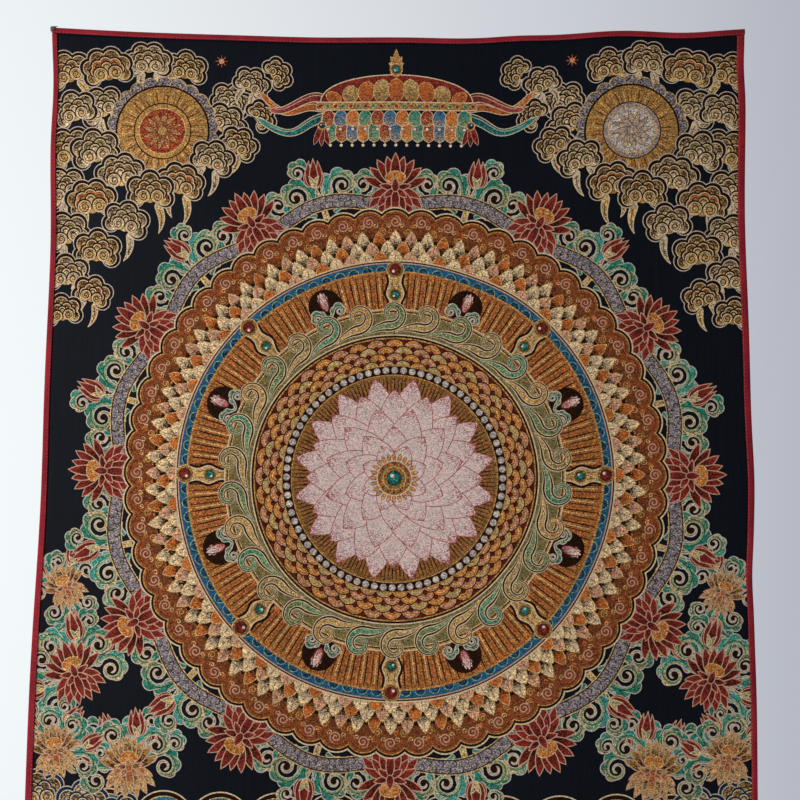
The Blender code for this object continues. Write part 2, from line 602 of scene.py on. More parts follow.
@dataclass(frozen=True)
class Flower:
    """An open lotus flower in three-quarter view, with the real axis up out of it.

    The pen is where its front petals meet. The sizes in the tables are shares of its radius.
    """

    pen: Pen
    radius: float
    shade: FlowerShade = FlowerShade.WINE
    behind: tuple = (
        # base, turn, length, width, bend, which fill
        (0.11, 88, 1.00, 0.30, -30, 0),
        (0.11, 62, 0.96, 0.30, -16, 0),
        (0.11, 40, 0.97, 0.30, -10, 1),
        (0.11, 19, 0.92, 0.30, -6, 1),
        (0.12, 0, 0.98, 0.30, 0, 1),
    )
    before: tuple = (
        (-0.02, 112, 1.02, 0.29, 34, 1),
        (-0.02, 138, 0.98, 0.29, 22, 1),
        (-0.02, 163, 0.95, 0.29, 10, 1),
        (-0.02, 97, 0.82, 0.25, 30, 2),
        (-0.02, 125, 0.76, 0.25, 24, 2),
        (-0.02, 151, 0.72, 0.25, 12, 1),
        (-0.02, 70, 0.50, 0.19, 10, 1),
        (-0.02, 120, 0.42, 0.19, 10, 2),
        (-0.02, 180, 0.78, 0.25, 0, 2),
    )

    def draw(self) -> None:
        """Draws the flower from its hindmost petals to the foremost one."""
        self.draw_petals(self.behind, 0.9)
        self.draw_head()
        self.draw_petals(self.before, 0.85)
        front = self.pen.at(-0.1 * self.radius)
        petal(front, self.radius * 0.44, self.radius * 0.22, self.shade.value[2], 0.9, 0, Yarn.PEACH, 0.8)

    def draw_petals(self, petals: tuple, line: float) -> None:
        """Draws petals on both sides of the middle, or once for one that stands in it.

        Args:
            petals: rows of a table above.
            line: their outlines' width.
        """
        for base, turn, length, width, bend, fill in petals:
            for way in (1, -1) if 0 < turn < 180 else (1,):
                own = self.pen.at(base * self.radius, way * turn)
                length_mm, width_mm = self.radius * length, self.radius * width
                shade, veins = self.shade.value[fill], int(length > 0.6)
                petal(own, length_mm, width_mm, shade, 0.82, way * bend, Yarn.PEACH, line, veins, Yarn.SOOT)

    def draw_head(self) -> None:
        """Draws the oval of stamens that shows between the petals behind it and those before it."""
        t = np.linspace(0, 2 * np.pi, 22, endpoint=False)
        head = (0.36 + 0.19 * np.cos(t) + 0.31j * np.sin(t)) * self.radius
        fill = stone(Yarn.GOLD, Yarn.ORANGE, 0.1, 0.9)
        self.pen.shape(head, fill, 0.3 * self.radius, (0.3 + 0.3j) * self.radius, Yarn.STRAW, 0.9)
        for k, y in enumerate(np.linspace(-0.25, 0.25, 8)):
            top = 0.36 + 0.15 * math.sqrt(1 - (y / 0.31) ** 2)
            stamen = np.array([0.2 + 0.3 * abs(y) + 0.8j * y, top + 1j * y]) * self.radius
            self.pen.line(stamen, (Yarn.RUST, Yarn.BROWN)[k % 2], 0.55, 0.6)


def bud(pen: Pen, length: float) -> None:
    """Draws a closed bud along the real axis, in its green cup.

    Args:
        pen: the pen, at the bud's foot.
        length: the bud's length.
    """
    wine = Fill(Yarn.WINE, Yarn.RED, 0.15, 0.9)
    for offset, turn, size, bend in ((0.14, -22, 0.7, 40), (0.1, -14, 0.92, 26)):
        for way in (1, -1):
            own = pen.at(-1j * way * offset * length, way * turn)
            petal(own, length * size, length * 0.24, wine, 1.15, way * bend, Yarn.PEACH, 0.8)
    petal(pen, length, length * 0.3, wine, 1.2, 0, Yarn.PEACH, 0.8, 2, Yarn.PEACH)
    for way in (1, -1):
        own = pen.at(-0.04 * length, way * 8)
        petal(own, length * 0.46, length * 0.16, Fill(Yarn.STRAW, Yarn.TEAL, 0.1, 0.6), 1.0, way * 35)


@dataclass(frozen=True)
class Volute:
    """A path that runs out from 0 along the real axis and then winds up to the left, as a fern does."""

    stem: float
    radius: float  # of its bend where it starts to wind
    turns: float
    lead_deg: float = 0.0  # how far the stem has turned where the winding starts
    tighten: float = 0.16  # how fast the radius falls for each radian
    per_turn: int = 42

    def path(self) -> tuple:
        """Works the path out.

        Returns:
            Its places, the radius of its bend at each, and how many degrees it has wound there, which is
            counted from -100 at the root to 0 where the winding starts.
        """
        steps = max(4, round(self.stem / 2.5))
        lead = math.radians(self.lead_deg)
        u = (np.arange(steps) + 0.5) / steps
        count = round(self.turns * self.per_turn)
        span = self.turns * 2 * np.pi
        wound = (np.arange(count) + 0.5) / count * span
        stem_steps = np.exp(1j * lead * u**1.5) * self.stem / steps
        round_steps = np.exp(1j * (lead + wound)) * self.radius * np.exp(-self.tighten * wound) * span / count
        places = np.concatenate([[0], np.cumsum(np.concatenate([stem_steps, round_steps]))])
        ends = np.arange(count + 1) / count * span
        radii = np.concatenate([np.full(steps, self.radius), self.radius * np.exp(-self.tighten * ends)])
        degrees = np.concatenate([np.linspace(-100, 0, steps, endpoint=False), np.degrees(ends)])
        return places, radii, degrees


LEAVES = (
    Fill(Yarn.STRAW, Yarn.TEAL, -0.6, 1.7),
    Fill(Yarn.STRAW, Yarn.SEA, -0.7, 1.6),
    Fill(Yarn.GOLD, Yarn.TEAL, -0.4, 1.7),
)


def scroll_leaf(pen: Pen, size: float, fill: Fill, lobes: int = 5, hook: bool = True) -> None:
    """Draws a leaf that winds up to the left in a volute, lobed outside, with a hooked lobe on its right.

    Args:
        pen: the pen, at the leaf's stem.
        size: about the leaf's length.
        fill: how it is woven, out from the volute's eye.
        lobes: how many lobes its outer side has.
        hook: whether it has the hooked lobe.
    """
    radius, thin = 0.3 * size, 0.045 * size
    path, radii, degrees = Volute(0.36 * size, radius, 1.62, -30).path()
    opened = np.clip(1 + degrees / 100, 0, 1) ** 1.8
    inner = np.where(degrees < 0, thin + (0.2 * radius - thin) * opened, 0.2 * radii)
    outer = np.where(degrees < 0, thin + (0.16 * radius - thin) * opened, 0.16 * radii)
    along = np.clip((degrees + 45) / 265, 0, 1)
    scallop = np.abs(np.sin(np.pi * lobes * along**0.9)) ** 0.6
    outer = outer + radii * np.sin(np.pi * along) ** 0.5 * (0.06 + 0.36 * scallop)
    closed = np.sqrt(np.clip((1 - degrees / degrees[-1]) / 0.06, 0, 1))
    inner, outer = inner * closed, outer * closed
    eye = path[-1]
    pen.lay(circle(eye, radius * 0.52), Yarn.SOOT)
    if hook:
        hook_lobe(pen.at(path[1], -50), size * 0.78, fill)
    pen.blade(path, inner, replace(fill, round_heart=True), outer, RIM, 0.9, (eye, eye + 1.45 * radius))
    side = leftwards(path)
    rib = (degrees > -75) & (degrees < 330)
    pen.line((path + side * inner * 0.45)[rib][::2], Fill(Yarn.STRAW, Yarn.SAGE, 0.0, 1.6), 0.035 * size, 0.1)
    rib = (degrees > -50) & (degrees < 260)
    pen.line((path - side * outer * 0.05)[rib][::2], Yarn.DEEP_TEAL, 0.7, 0.2)
    for k in range(1, lobes):
        at = int(np.argmax(along >= (k / lobes) ** (1 / 0.9)))
        if degrees[at] < 200:
            tip, root = path[at] - side[at] * outer[at], path[at - 3] - side[at - 3] * outer[at] * 0.3
            pen.line(np.linspace(tip, root, 3), Yarn.CREAM, 0.7, 0.3)


def hook_lobe(pen: Pen, length: float, fill: Fill, lobes: int = 3) -> None:
    """Draws a lobed leaf that runs out along the real axis, and whose tip hooks round to the right.

    Args:
        pen: the pen, at the leaf's foot.
        length: along its spine.
        fill: how it is woven, from foot to tip.
        lobes: how many lobes its left side has.
    """
    count = 30
    u = np.linspace(0, 1, count + 1)
    t = (np.arange(count) + 0.5) / count
    bend = 40 * np.sin(np.pi * np.clip(t / 0.6, 0, 1)) - 230 * np.clip((t - 0.42) / 0.58, 0, 1) ** 1.5
    spine = np.concatenate([[0], np.cumsum(np.exp(1j * np.radians(bend)) * length / count)])
    body = length * (0.05 + 0.15 * np.sin(np.pi * u**0.95) ** 1.1) * (1 - 0.4 * u)
    scallop = 0.6 + 0.7 * np.abs(np.sin(np.pi * lobes * np.clip(u - 0.18, 0, 1) / 0.82)) ** 0.6
    closed = np.sqrt(np.clip((1 - u) / 0.1, 0, 1))
    left = body * np.where(u > 0.18, scallop, 0.6) * closed
    pen.blade(spine, left, fill, body * 0.45 * closed, RIM, 0.9)
    pen.line((spine + leftwards(spine) * left * 0.15)[3:-6:2], Yarn.STRAW, 0.6, 0.2)


def spray(pen: Pen, size: float, shade: int = 0) -> None:
    """Draws a stem along the real axis with leaves that wind up on either side and a bud at its end.

    Args:
        pen: the pen, at the stem's foot.
        size: the spray's length.
        shade: which of LEAVES comes first.
    """
    path = sweep(size * 0.62, 16, 1.0, 8)
    half = 0.09 * size / 2 * (0.45 + 0.55 * np.linspace(1, 0, len(path)))
    pen.blade(path, half, Fill(Yarn.STRAW, Yarn.OLIVE, 0.1, 0.6), line=0.8)
    pen.line(path[1:-1], Yarn.BROWN, 0.6, 0.3)
    for k, (at, turn, share) in enumerate(((2, 38, 0.86), (3, -44, 0.8), (7, 20, 0.62))):
        own = pen.at(path[at], turn, mirror=k == 1)
        scroll_leaf(own, size * share, LEAVES[(k + shade) % 3], hook=k < 2)
    bud(pen.at(path[-2], -12), size * 0.46)


class CloudShade(Enum):
    """The fills of a cloud's outer puffs and of its inner ones, each from a dark crown to a pale foot."""

    WARM = (Fill(Yarn.SOOT, Yarn.STRAW, -0.2, 1.5), Fill(Yarn.BROWN, Yarn.GOLD, -0.2, 1.5))
    COOL = (Fill(Yarn.SOOT, Yarn.CREAM, -0.2, 1.4), Fill(Yarn.MOSS, Yarn.STRAW, -0.2, 1.3))
    PALE = (Fill(Yarn.SOOT, Yarn.CREAM, -0.1, 1.4), Fill(Yarn.BROWN, Yarn.STRAW, -0.2, 1.4))
    FIERY = (Fill(Yarn.BROWN, Yarn.STRAW, -0.2, 1.4), Fill(Yarn.RUST, Yarn.GOLD, -0.2, 1.3))
    FOAM = (Fill(Yarn.DEEP_BLUE, Yarn.CREAM, -0.2, 1.4), Fill(Yarn.DEEP_TEAL, Yarn.IVORY, -0.2, 1.3))


WARM, COOL, PALE, FIERY, FOAM = CloudShade


@dataclass(frozen=True)
class CloudHead:
    """A curling cloud: a row of puffs in a scalloped rim, a smaller row inside, and volutes at its foot.

    Its crown lies along the pen's real axis.
    """

    pen: Pen
    size: float  # half its width
    shade: CloudShade
    puffs: int = 5
    tails: int = 2
    ink: Yarn = Yarn.SOOT  # its shadows and fine lines

    def draw(self) -> None:
        """Draws the cloud."""
        pale, rich = self.shade.value
        pen, size = self.pen, self.size
        self.draw_tails(Fill(pale.second, pale.first, 0.0, 0.7))
        spread = np.radians(np.linspace(-118, 118, self.puffs))
        centres = (0.5 * np.cos(spread) + 0.68j * np.sin(spread)) * size
        radii = size * (0.33 + 0.05 * np.cos(spread)) * (5 / self.puffs) ** 0.5
        self.draw_row(centres, radii, pale, 1.5, 1.2, 0.8)
        pen.lay(circle(0.05 * size, 0.42 * size), self.ink)
        spread = np.radians(np.linspace(-96, 96, self.puffs - 1))
        centres = (0.26 * np.cos(spread) + 0.02 + 0.46j * np.sin(spread)) * size
        self.draw_row(centres, size * (0.22 + 0.04 * np.cos(spread)), rich, 0.7, 1.0, 0.0)
        pen.lay(circle(-0.12 * size, 0.3 * size), rich.second)
        self.draw_volute(pen.at(0.12 * size), 0.21 * size, pale, False)
        for way in (1, -1):
            self.draw_volute(pen.at((-0.14 + 0.3j * way) * size, mirror=way < 0), 0.27 * size, pale, True)

    def draw_tails(self, fill: Fill) -> None:
        """Draws the streamers that trail from the cloud's foot.

        Args:
            fill: how they are woven.
        """
        count = 14
        for k in range(self.tails):
            own = self.pen.at(self.size * (-0.42 + 0.25j - (0.5j - 0.05) * k), (148, 208)[k])
            spine = sweep(self.size * (1.35, 1.15)[k], (60, -70)[k], 1.2, count)
            own.blade(spine, self.size * 0.15 * swell(count, 0.35, 1.0), fill, line=1.0)
            own.line(spine[2:-3], self.ink, 0.6, 0.2)

    def draw_row(
        self, centres: np.ndarray, radii: np.ndarray, fill: Fill, band: float, shift: float, rim: float
    ) -> None:
        """Draws a row of puffs, with the dark shadow that sets them off.

        Args:
            centres: the puffs' centres.
            radii: their radii.
            fill: how they are woven, from their crowns in.
            band: the width of the shadow round them.
            shift: how much wider it is over their crowns.
            rim: the width of the pale line round the shadow, or 0 for none.
        """
        pen = self.pen
        puffs = list(zip(centres, radii, units(centres + 0.35 * self.size)))
        layers = [(shift, band, self.ink), (0.0, 0.0, OUTLINE)]
        if rim:
            layers.insert(0, (shift, band + rim, RIM))
        for off, more, yarn in layers:
            for centre, radius, crown in puffs:
                pen.lay(circle(centre + crown * off, radius + more), yarn)
        for centre, radius, crown in puffs:
            top, foot = centre + crown * radius, centre - 0.7 * crown * radius
            pen.lay(circle(centre, radius - 0.75), fill, top, foot)
        for centre, radius, crown in puffs:
            pen.line(arch(radius * 0.5, 96, centre - 0.15 * crown * radius, crown), self.ink, 0.8, 0.25)

    def draw_volute(self, pen: Pen, radius: float, fill: Fill, winds: bool) -> None:
        """Draws one curl at the foot.

        Args:
            pen: the pen, at its middle.
            radius: the curl's.
            fill: how it is woven, from its crown in.
            winds: whether it winds up, or else only arches.
        """
        pen.lay(circle(0.7, radius + 0.8), self.ink)
        pen.lay(circle(0, radius), OUTLINE)
        pen.lay(circle(0, radius - 0.75), fill, 1.3 * radius, -0.3 * radius)
        if winds:
            pen.line(spiral(radius * 0.78, 1.6, 70), self.ink, 0.9, 0.5)
            pen.line(spiral(radius * 0.52, 1.2, 110), Yarn.GOLD, 0.7, 0.4)
        else:
            pen.line(arch(radius * 0.55, 100), self.ink, 0.8, 0.3)


def jewel(pen: Pen, radius: float, first: Yarn, second: Yarn, low: float = 0.0) -> None:
    """Draws a set jewel: a stone of two yarns with a glint, in a gold collar.

    Args:
        pen: the pen, at its middle.
        radius: the collar's.
        first: the stone's yarn in its middle.
        second: its yarn at the rim.
        low: the second yarn's share in the middle.
    """
    pen.disc(radius, stone(Yarn.GOLD, Yarn.OLD_GOLD), Yarn.STRAW)
    pen.disc(radius * 0.66, stone(first, second, low), Yarn.BROWN, 0.6)
    pen.lay(circle(radius * (-0.2 + 0.22j), radius * 0.17), Yarn.IVORY)


def banded_wave(pen: Pen, size: float, body: Fill) -> None:
    """Draws a curling wave whose body lies between dark and pale lines, all along one winding path.

    Args:
        pen: the pen, at the wave's foot.
        size: about the wave's height.
        body: how its body is woven, from its foot to its middle.
    """
    path, radii, degrees = Volute(0.75 * size, 0.36 * size, 1.3, -34, per_turn=30).path()
    opened = np.clip(1 + (degrees + 10) / 110, 0.15, 1)
    half = 0.46 * radii * opened * np.sqrt(np.clip((470 - degrees) / 30, 0, 1))
    for share, fill in ((1.0, OUTLINE), (0.84, Yarn.SOOT), (0.55, OUTLINE), (0.4, body)):
        pen.lay(blade(path, half * share, half * share), fill, path[0], path[len(path) // 2])


# ------------------------------ the parts of the design


@dataclass(frozen=True)
class WheelRoundel:
    """The great roundel: a pink lotus, then rings of pearls, scales, waves, rays, water, petals and curls."""

    pen: Pen
    lotus: float = 85.0
    pearls: float = 91.0
    scales: float = 121.0
    waves: float = 143.0
    rays: float = 175.0
    water: float = 183.0
    petals: float = 210.0
    curls: float = 226.0

    def draw(self) -> None:
        """Draws the roundel from its outer rings in, each over the last."""
        self.draw_curls()
        self.draw_petals()
        self.draw_rays()
        self.draw_waves()
        self.draw_scales()
        self.draw_lotus()

    def draw_curls(self) -> None:
        """Draws the outer ring, which is scalloped and covered in small curls."""
        pen = self.pen.on("woven_curl_ring")
        lobes = 60
        ring = stone(Yarn.BROWN, Yarn.RUST, 0.2, 0.9)
        for radius, fill in ((17.6, OUTLINE), (16.4, Yarn.SOOT), (14.6, Yarn.GOLD), (13.7, ring)):
            for one in pen.round(lobes, self.curls - 13):
                one.lay(circle(0, radius), fill, -10, 14)
        for one in pen.round(lobes, self.curls - 13):
            one.line(arch(11.4, 62), Yarn.BROWN, 0.7, 0.5)
        for k, one in enumerate(pen.round(2 * lobes, self.curls - 8)):
            odd = k % 2
            own = one.at(-8.6 * odd, 60 * odd, mirror=k % 4 < 2)
            own.line(spiral((5.2, 3.6)[odd], 1.7), (Yarn.PEACH, Yarn.GOLD)[odd], 1.0, 0.5)
            for way in (1, -1):
                small = own.at(6.2 * turned(way * 118 + 31 * odd), mirror=way < 0)
                small.line(spiral(2.3, 1.2, 40), (Yarn.STRAW, Yarn.ORANGE)[odd], 0.8, 0.5)

    def draw_petals(self) -> None:
        """Draws three rows of narrow petals, cream and orange by turns, that darken towards their bases."""
        pen = self.pen.on("woven_petal_ring")
        count, shown = 92, 14.0
        yarns = (Yarn.CREAM, Yarn.ORANGE, Yarn.PEACH)
        pen.disc(self.petals - 6, Yarn.SOOT, None)
        for row, (length, half_step) in enumerate(((35.0, 0), (26.0, 1), (17.5, 0))):
            # The share rises from 0 to 1 over the 7 mm above the next row's tips.
            start, slope = (length - shown) / 7, length / 7
            fills = [Fill(Yarn.SOOT, yarn, -start, slope - start) for yarn in yarns]
            for k, one in enumerate(pen.round(count, self.water - 7, 90 + 180 / count * half_step)):
                fill = fills[(0, 1, 0, 2)[(k + 2 * row) % 4]]
                petal(one, length - k % 2, 12.6, fill, 0.7, edge=Yarn.STRAW, steps=12)
                one.line(straight(length - 9, length - 3, 3), Yarn.OLD_GOLD, 0.8, 0.4)

    def draw_rays(self) -> None:
        """Draws the blue water ring and, inside it, fine rays behind the wheel's eight spokes."""
        pen = self.pen.on("woven_wheel")
        pen.disc(self.water + 1.6, Yarn.SOOT, OUTLINE, 1.2)
        pen.disc(self.water - 0.6, stone(Yarn.DEEP_BLUE, Yarn.BLUE, 0.35, 0.9), Yarn.PEACH, 1.0)
        for one in pen.round(92, self.rays + 0.8):
            one.disc(4.4, stone(Yarn.BLUE, Yarn.DEEP_BLUE, 0.1, 0.9), Yarn.SAGE)
        pen.disc(self.rays, stone(Yarn.ORANGE, Yarn.OLD_GOLD, 0.1, 0.6), Yarn.GOLD, 1.3)
        yarns = (Yarn.BROWN, Yarn.STRAW, Yarn.SOOT, Yarn.RUST)
        for k, one in enumerate(pen.round(380)):
            starts = self.waves - 4 + 4 * ((k * 7) % 3)
            ends = self.rays - 1.5 - 3.0 * ((k * 5) % 4) * (k % 2)
            one.line(straight(starts, ends, 5), yarns[k % 4], 1.15, 0.5)
        for k, one in enumerate(pen.round(16)):
            (self.draw_spoke, self.draw_flourish)[k % 2](one)

    def draw_spoke(self, pen: Pen) -> None:
        """Draws one spoke: a gold baluster with a jewel at its waist and one at its rim.

        Args:
            pen: the pen, at the wheel's middle.
        """
        count = 16
        start = self.waves - 3
        spine = start + sweep(self.rays - start - 2, 0, 1, count)
        u = np.linspace(0, 1, count + 1)
        half = 3.6 + 3.6 * np.sin(np.pi * u) ** 2 - 1.4 * np.sin(2 * np.pi * u) ** 2 + 2.6 * u**4
        pen.lay(blade(spine, half + 2.6, half + 2.6), Yarn.SOOT)
        pen.blade(spine, half, Fill(Yarn.GOLD, Yarn.STRAW, 0.2, 0.9), line=1.0)
        for share in (-0.5, 0.5):
            pen.line(spine[2:-2] + 1j * half[2:-2] * share, Yarn.BROWN, 0.6)
        jewel(pen.at((start + self.rays - 4) / 2), 5.8, Yarn.SEA, Yarn.DEEP_TEAL)
        jewel(pen.at(self.rays + 2), 7.4, Yarn.RED, Yarn.WINE, 0.1)

    def draw_flourish(self, pen: Pen) -> None:
        """Draws the small lotus on two leaves between two spokes.

        Args:
            pen: the pen, at the wheel's middle.
        """
        middle = self.waves + 5
        pen.lay(circle(middle + 9, 14.5), Yarn.SOOT)
        for way in (1, -1):
            own = pen.at(middle - 2, way * 58, mirror=way < 0)
            scroll_leaf(own, 19, Fill(Yarn.STRAW, Yarn.TEAL, 0.1, 1.0), 3, hook=False)
        pink = Fill(Yarn.ROSE, Yarn.BLUSH, 0.0, 1.2)
        for bend, length in ((48, 14), (-48, 14), (24, 17), (-24, 17), (0, 18)):
            petal(pen.at(middle + 4), length, 6.6, pink, 0.9, bend, Yarn.WINE, 0.6)

    def draw_waves(self) -> None:
        """Draws the ring of banded waves on speckled olive."""
        pen = self.pen.on("woven_wave_ring")
        pen.disc(self.waves, stone(Yarn.OLIVE, Yarn.GOLD, 0.25, 0.75), OUTLINE, 1.1)
        pen.disc(self.waves - 1.6, Yarn.SOOT, None)
        pen.disc(self.waves - 3.0, stone(Yarn.MOSS, Yarn.OLIVE, 0.3, 0.8), Yarn.STRAW, 0.8)
        bodies = (
            Fill(Yarn.STRAW, Yarn.OLIVE, 0.2, 0.8),
            Fill(Yarn.SAGE, Yarn.MOSS, 0.1, 0.7),
            Fill(Yarn.STRAW, Yarn.GOLD, 0.1, 0.8),
            Fill(Yarn.SAGE, Yarn.TEAL, 0.1, 0.7),
        )
        for k, one in enumerate(pen.round(30, self.scales + 2.5)):
            banded_wave(one.at(turn_deg=-68), 31, bodies[k % 4])

    def draw_scales(self) -> None:
        """Draws the ring of gold and orange scales, each speckled and edged with a dark line."""
        pen = self.pen.on("woven_scale_ring")
        pen.disc(self.scales, Yarn.SOOT, OUTLINE, 1.1)
        pen.disc(self.scales - 2.2, Yarn.GOLD, None)
        pen.disc(self.scales - 3.4, Yarn.WINE, None)
        warm = stone(Yarn.ORANGE, Yarn.GOLD, 0.2, 0.65)
        light = stone(Yarn.OLIVE, Yarn.STRAW, 0.3, 0.8)
        rosy = stone(Yarn.RUST, Yarn.PEACH, 0.2, 0.6)
        count, rows = 44, 4
        step = (self.scales - self.pearls - 8) / rows
        for row in range(rows):
            odd = row % 2
            radius = self.scales - 12.5 - step * row
            size = math.pi * radius / count * 1.18
            for k, one in enumerate(pen.round(count, radius, 90 + 180 / count * odd)):
                fill = (warm, light, rosy, light)[(k + 2 * (row // 2)) % 4 if odd else (k * 2 + row) % 4]
                one.disc(size, fill, Yarn.SOOT, 0.9)
                one.line(arch(size * 0.66, 80), Yarn.STRAW, 0.7, 0.5)
                one.disc(size * 0.3, Yarn.WINE, Yarn.GOLD, 0.5, size * 0.12)

    def draw_lotus(self) -> None:
        """Draws the string of pearls and the pink lotus that it rings."""
        pen = self.pen.on("woven_lotus")
        pen.disc(self.pearls + 3.9, Yarn.SOOT, Yarn.GOLD, 1.1)
        for one in pen.round(76, self.pearls):
            one.disc(3.1, stone(Yarn.IVORY, Yarn.MIST, 0.0, 0.8), Yarn.BROWN, 0.5)
        pen.disc(self.pearls - 4.2, stone(Yarn.RUST, Yarn.OLD_GOLD), Yarn.GOLD, 0.9)
        for k, one in enumerate(pen.round(160)):
            ray = straight(58 + 5 * (k % 3), self.pearls - 6, 4)
            one.line(ray, (Yarn.SOOT, Yarn.WINE)[k % 2], 1.0, 0.5)
        pink = Fill(Yarn.BLUSH, Yarn.ROSE, -2.6, 0.6)
        rows = (
            # reach, width, count, offset in half steps, veins
            (1.00, 32, 16, 1, 4),
            (0.88, 33, 16, 0, 4),
            (0.70, 31, 12, 1, 3),
            (0.51, 26, 10, 0, 3),
            (0.34, 19, 8, 1, 2),
        )
        for reach, width, count, offset, veins in rows:
            for one in pen.round(count, 0.0, 90 + 180 / count * offset):
                petal(one, self.lotus * reach, width, pink, 0.8, 0, Yarn.ROSE, 0.7, veins, Yarn.PETAL, 18)
        for one in pen.round(24, 13.6):
            petal(one, 7.2, 3.0, Fill(Yarn.ORANGE, Yarn.STRAW), 0.5, edge=Yarn.BROWN, line=0.4, steps=6)
        pen.disc(14.5, stone(Yarn.GOLD, Yarn.OLD_GOLD, 0.1), OUTLINE, 0.9)
        jewel(pen, 9.5, Yarn.SEA, Yarn.DEEP_TEAL)
        for one in pen.round(14, 12.1):
            one.disc(1.1, Yarn.RED, None)


@dataclass(frozen=True)
class Wreath:
    """The scarf, leaves and flowers round the roundel, which reach out over the dark ground."""

    pen: Pen
    radius: float = 240.0
    flowers: int = 12
    scarf_half: float = 6.6  # half the scarf's width

    def draw(self) -> None:
        """Draws the leaf sprays, then the scarf over their stems, and then the flowers."""
        leaves = self.pen.on("woven_leaves")
        for k in range(self.flowers):
            at = 90 + 360 * (k + 0.5) / self.flowers
            for way in (-1, 1):
                own = leaves.at((self.radius - 12) * turned(at + 9.0 * way), at + 22 * way, mirror=way > 0)
                scroll_leaf(own, 42, LEAVES[(k + way) % 3])
                own = leaves.at((self.radius - 8) * turned(at + 2.0 * way), at + 58 * way, mirror=way > 0)
                scroll_leaf(own, 36, LEAVES[(k + 1) % 3], hook=False)
            spray(leaves.at((self.radius - 12) * turned(at), at, mirror=bool(k % 2)), 54, k)
        self.draw_scarf()
        for one in self.pen.on("woven_flowers").round(self.flowers, self.radius + 6):
            Flower(one, 28).draw()

    def draw_scarf(self) -> None:
        """Draws the grey scaled scarf that winds round from flower to flower, with gold borders."""
        pen = self.pen.on("woven_scarf")
        steps = 24  # from one flower to the next
        t = np.linspace(0, 2 * np.pi, self.flowers * steps + 1)
        path = 1j * (self.radius - 3 - 5 * np.cos(self.flowers * t)) * np.exp(1j * t)
        layers = ((0.0, Yarn.STRAW), (0.8, Yarn.SOOT), (1.7, Fill(Yarn.MIST, Yarn.PLUM, 0.35, 0.35)))
        for start in range(0, self.flowers * steps, steps):
            part = path[start : start + steps + 1]
            half = np.full(steps + 1, self.scarf_half)
            for inset, fill in layers:
                pen.lay(blade(part, half - inset, half - inset), fill)
            for k in range(1, steps):
                own = pen.at(part[k], math.degrees(cmath.phase(part[k + 1] - part[k])))
                own.line(arch(2.5, 85, (2.4j, -2.4j)[k % 2]), Yarn.SOOT, 0.7, 0.6)


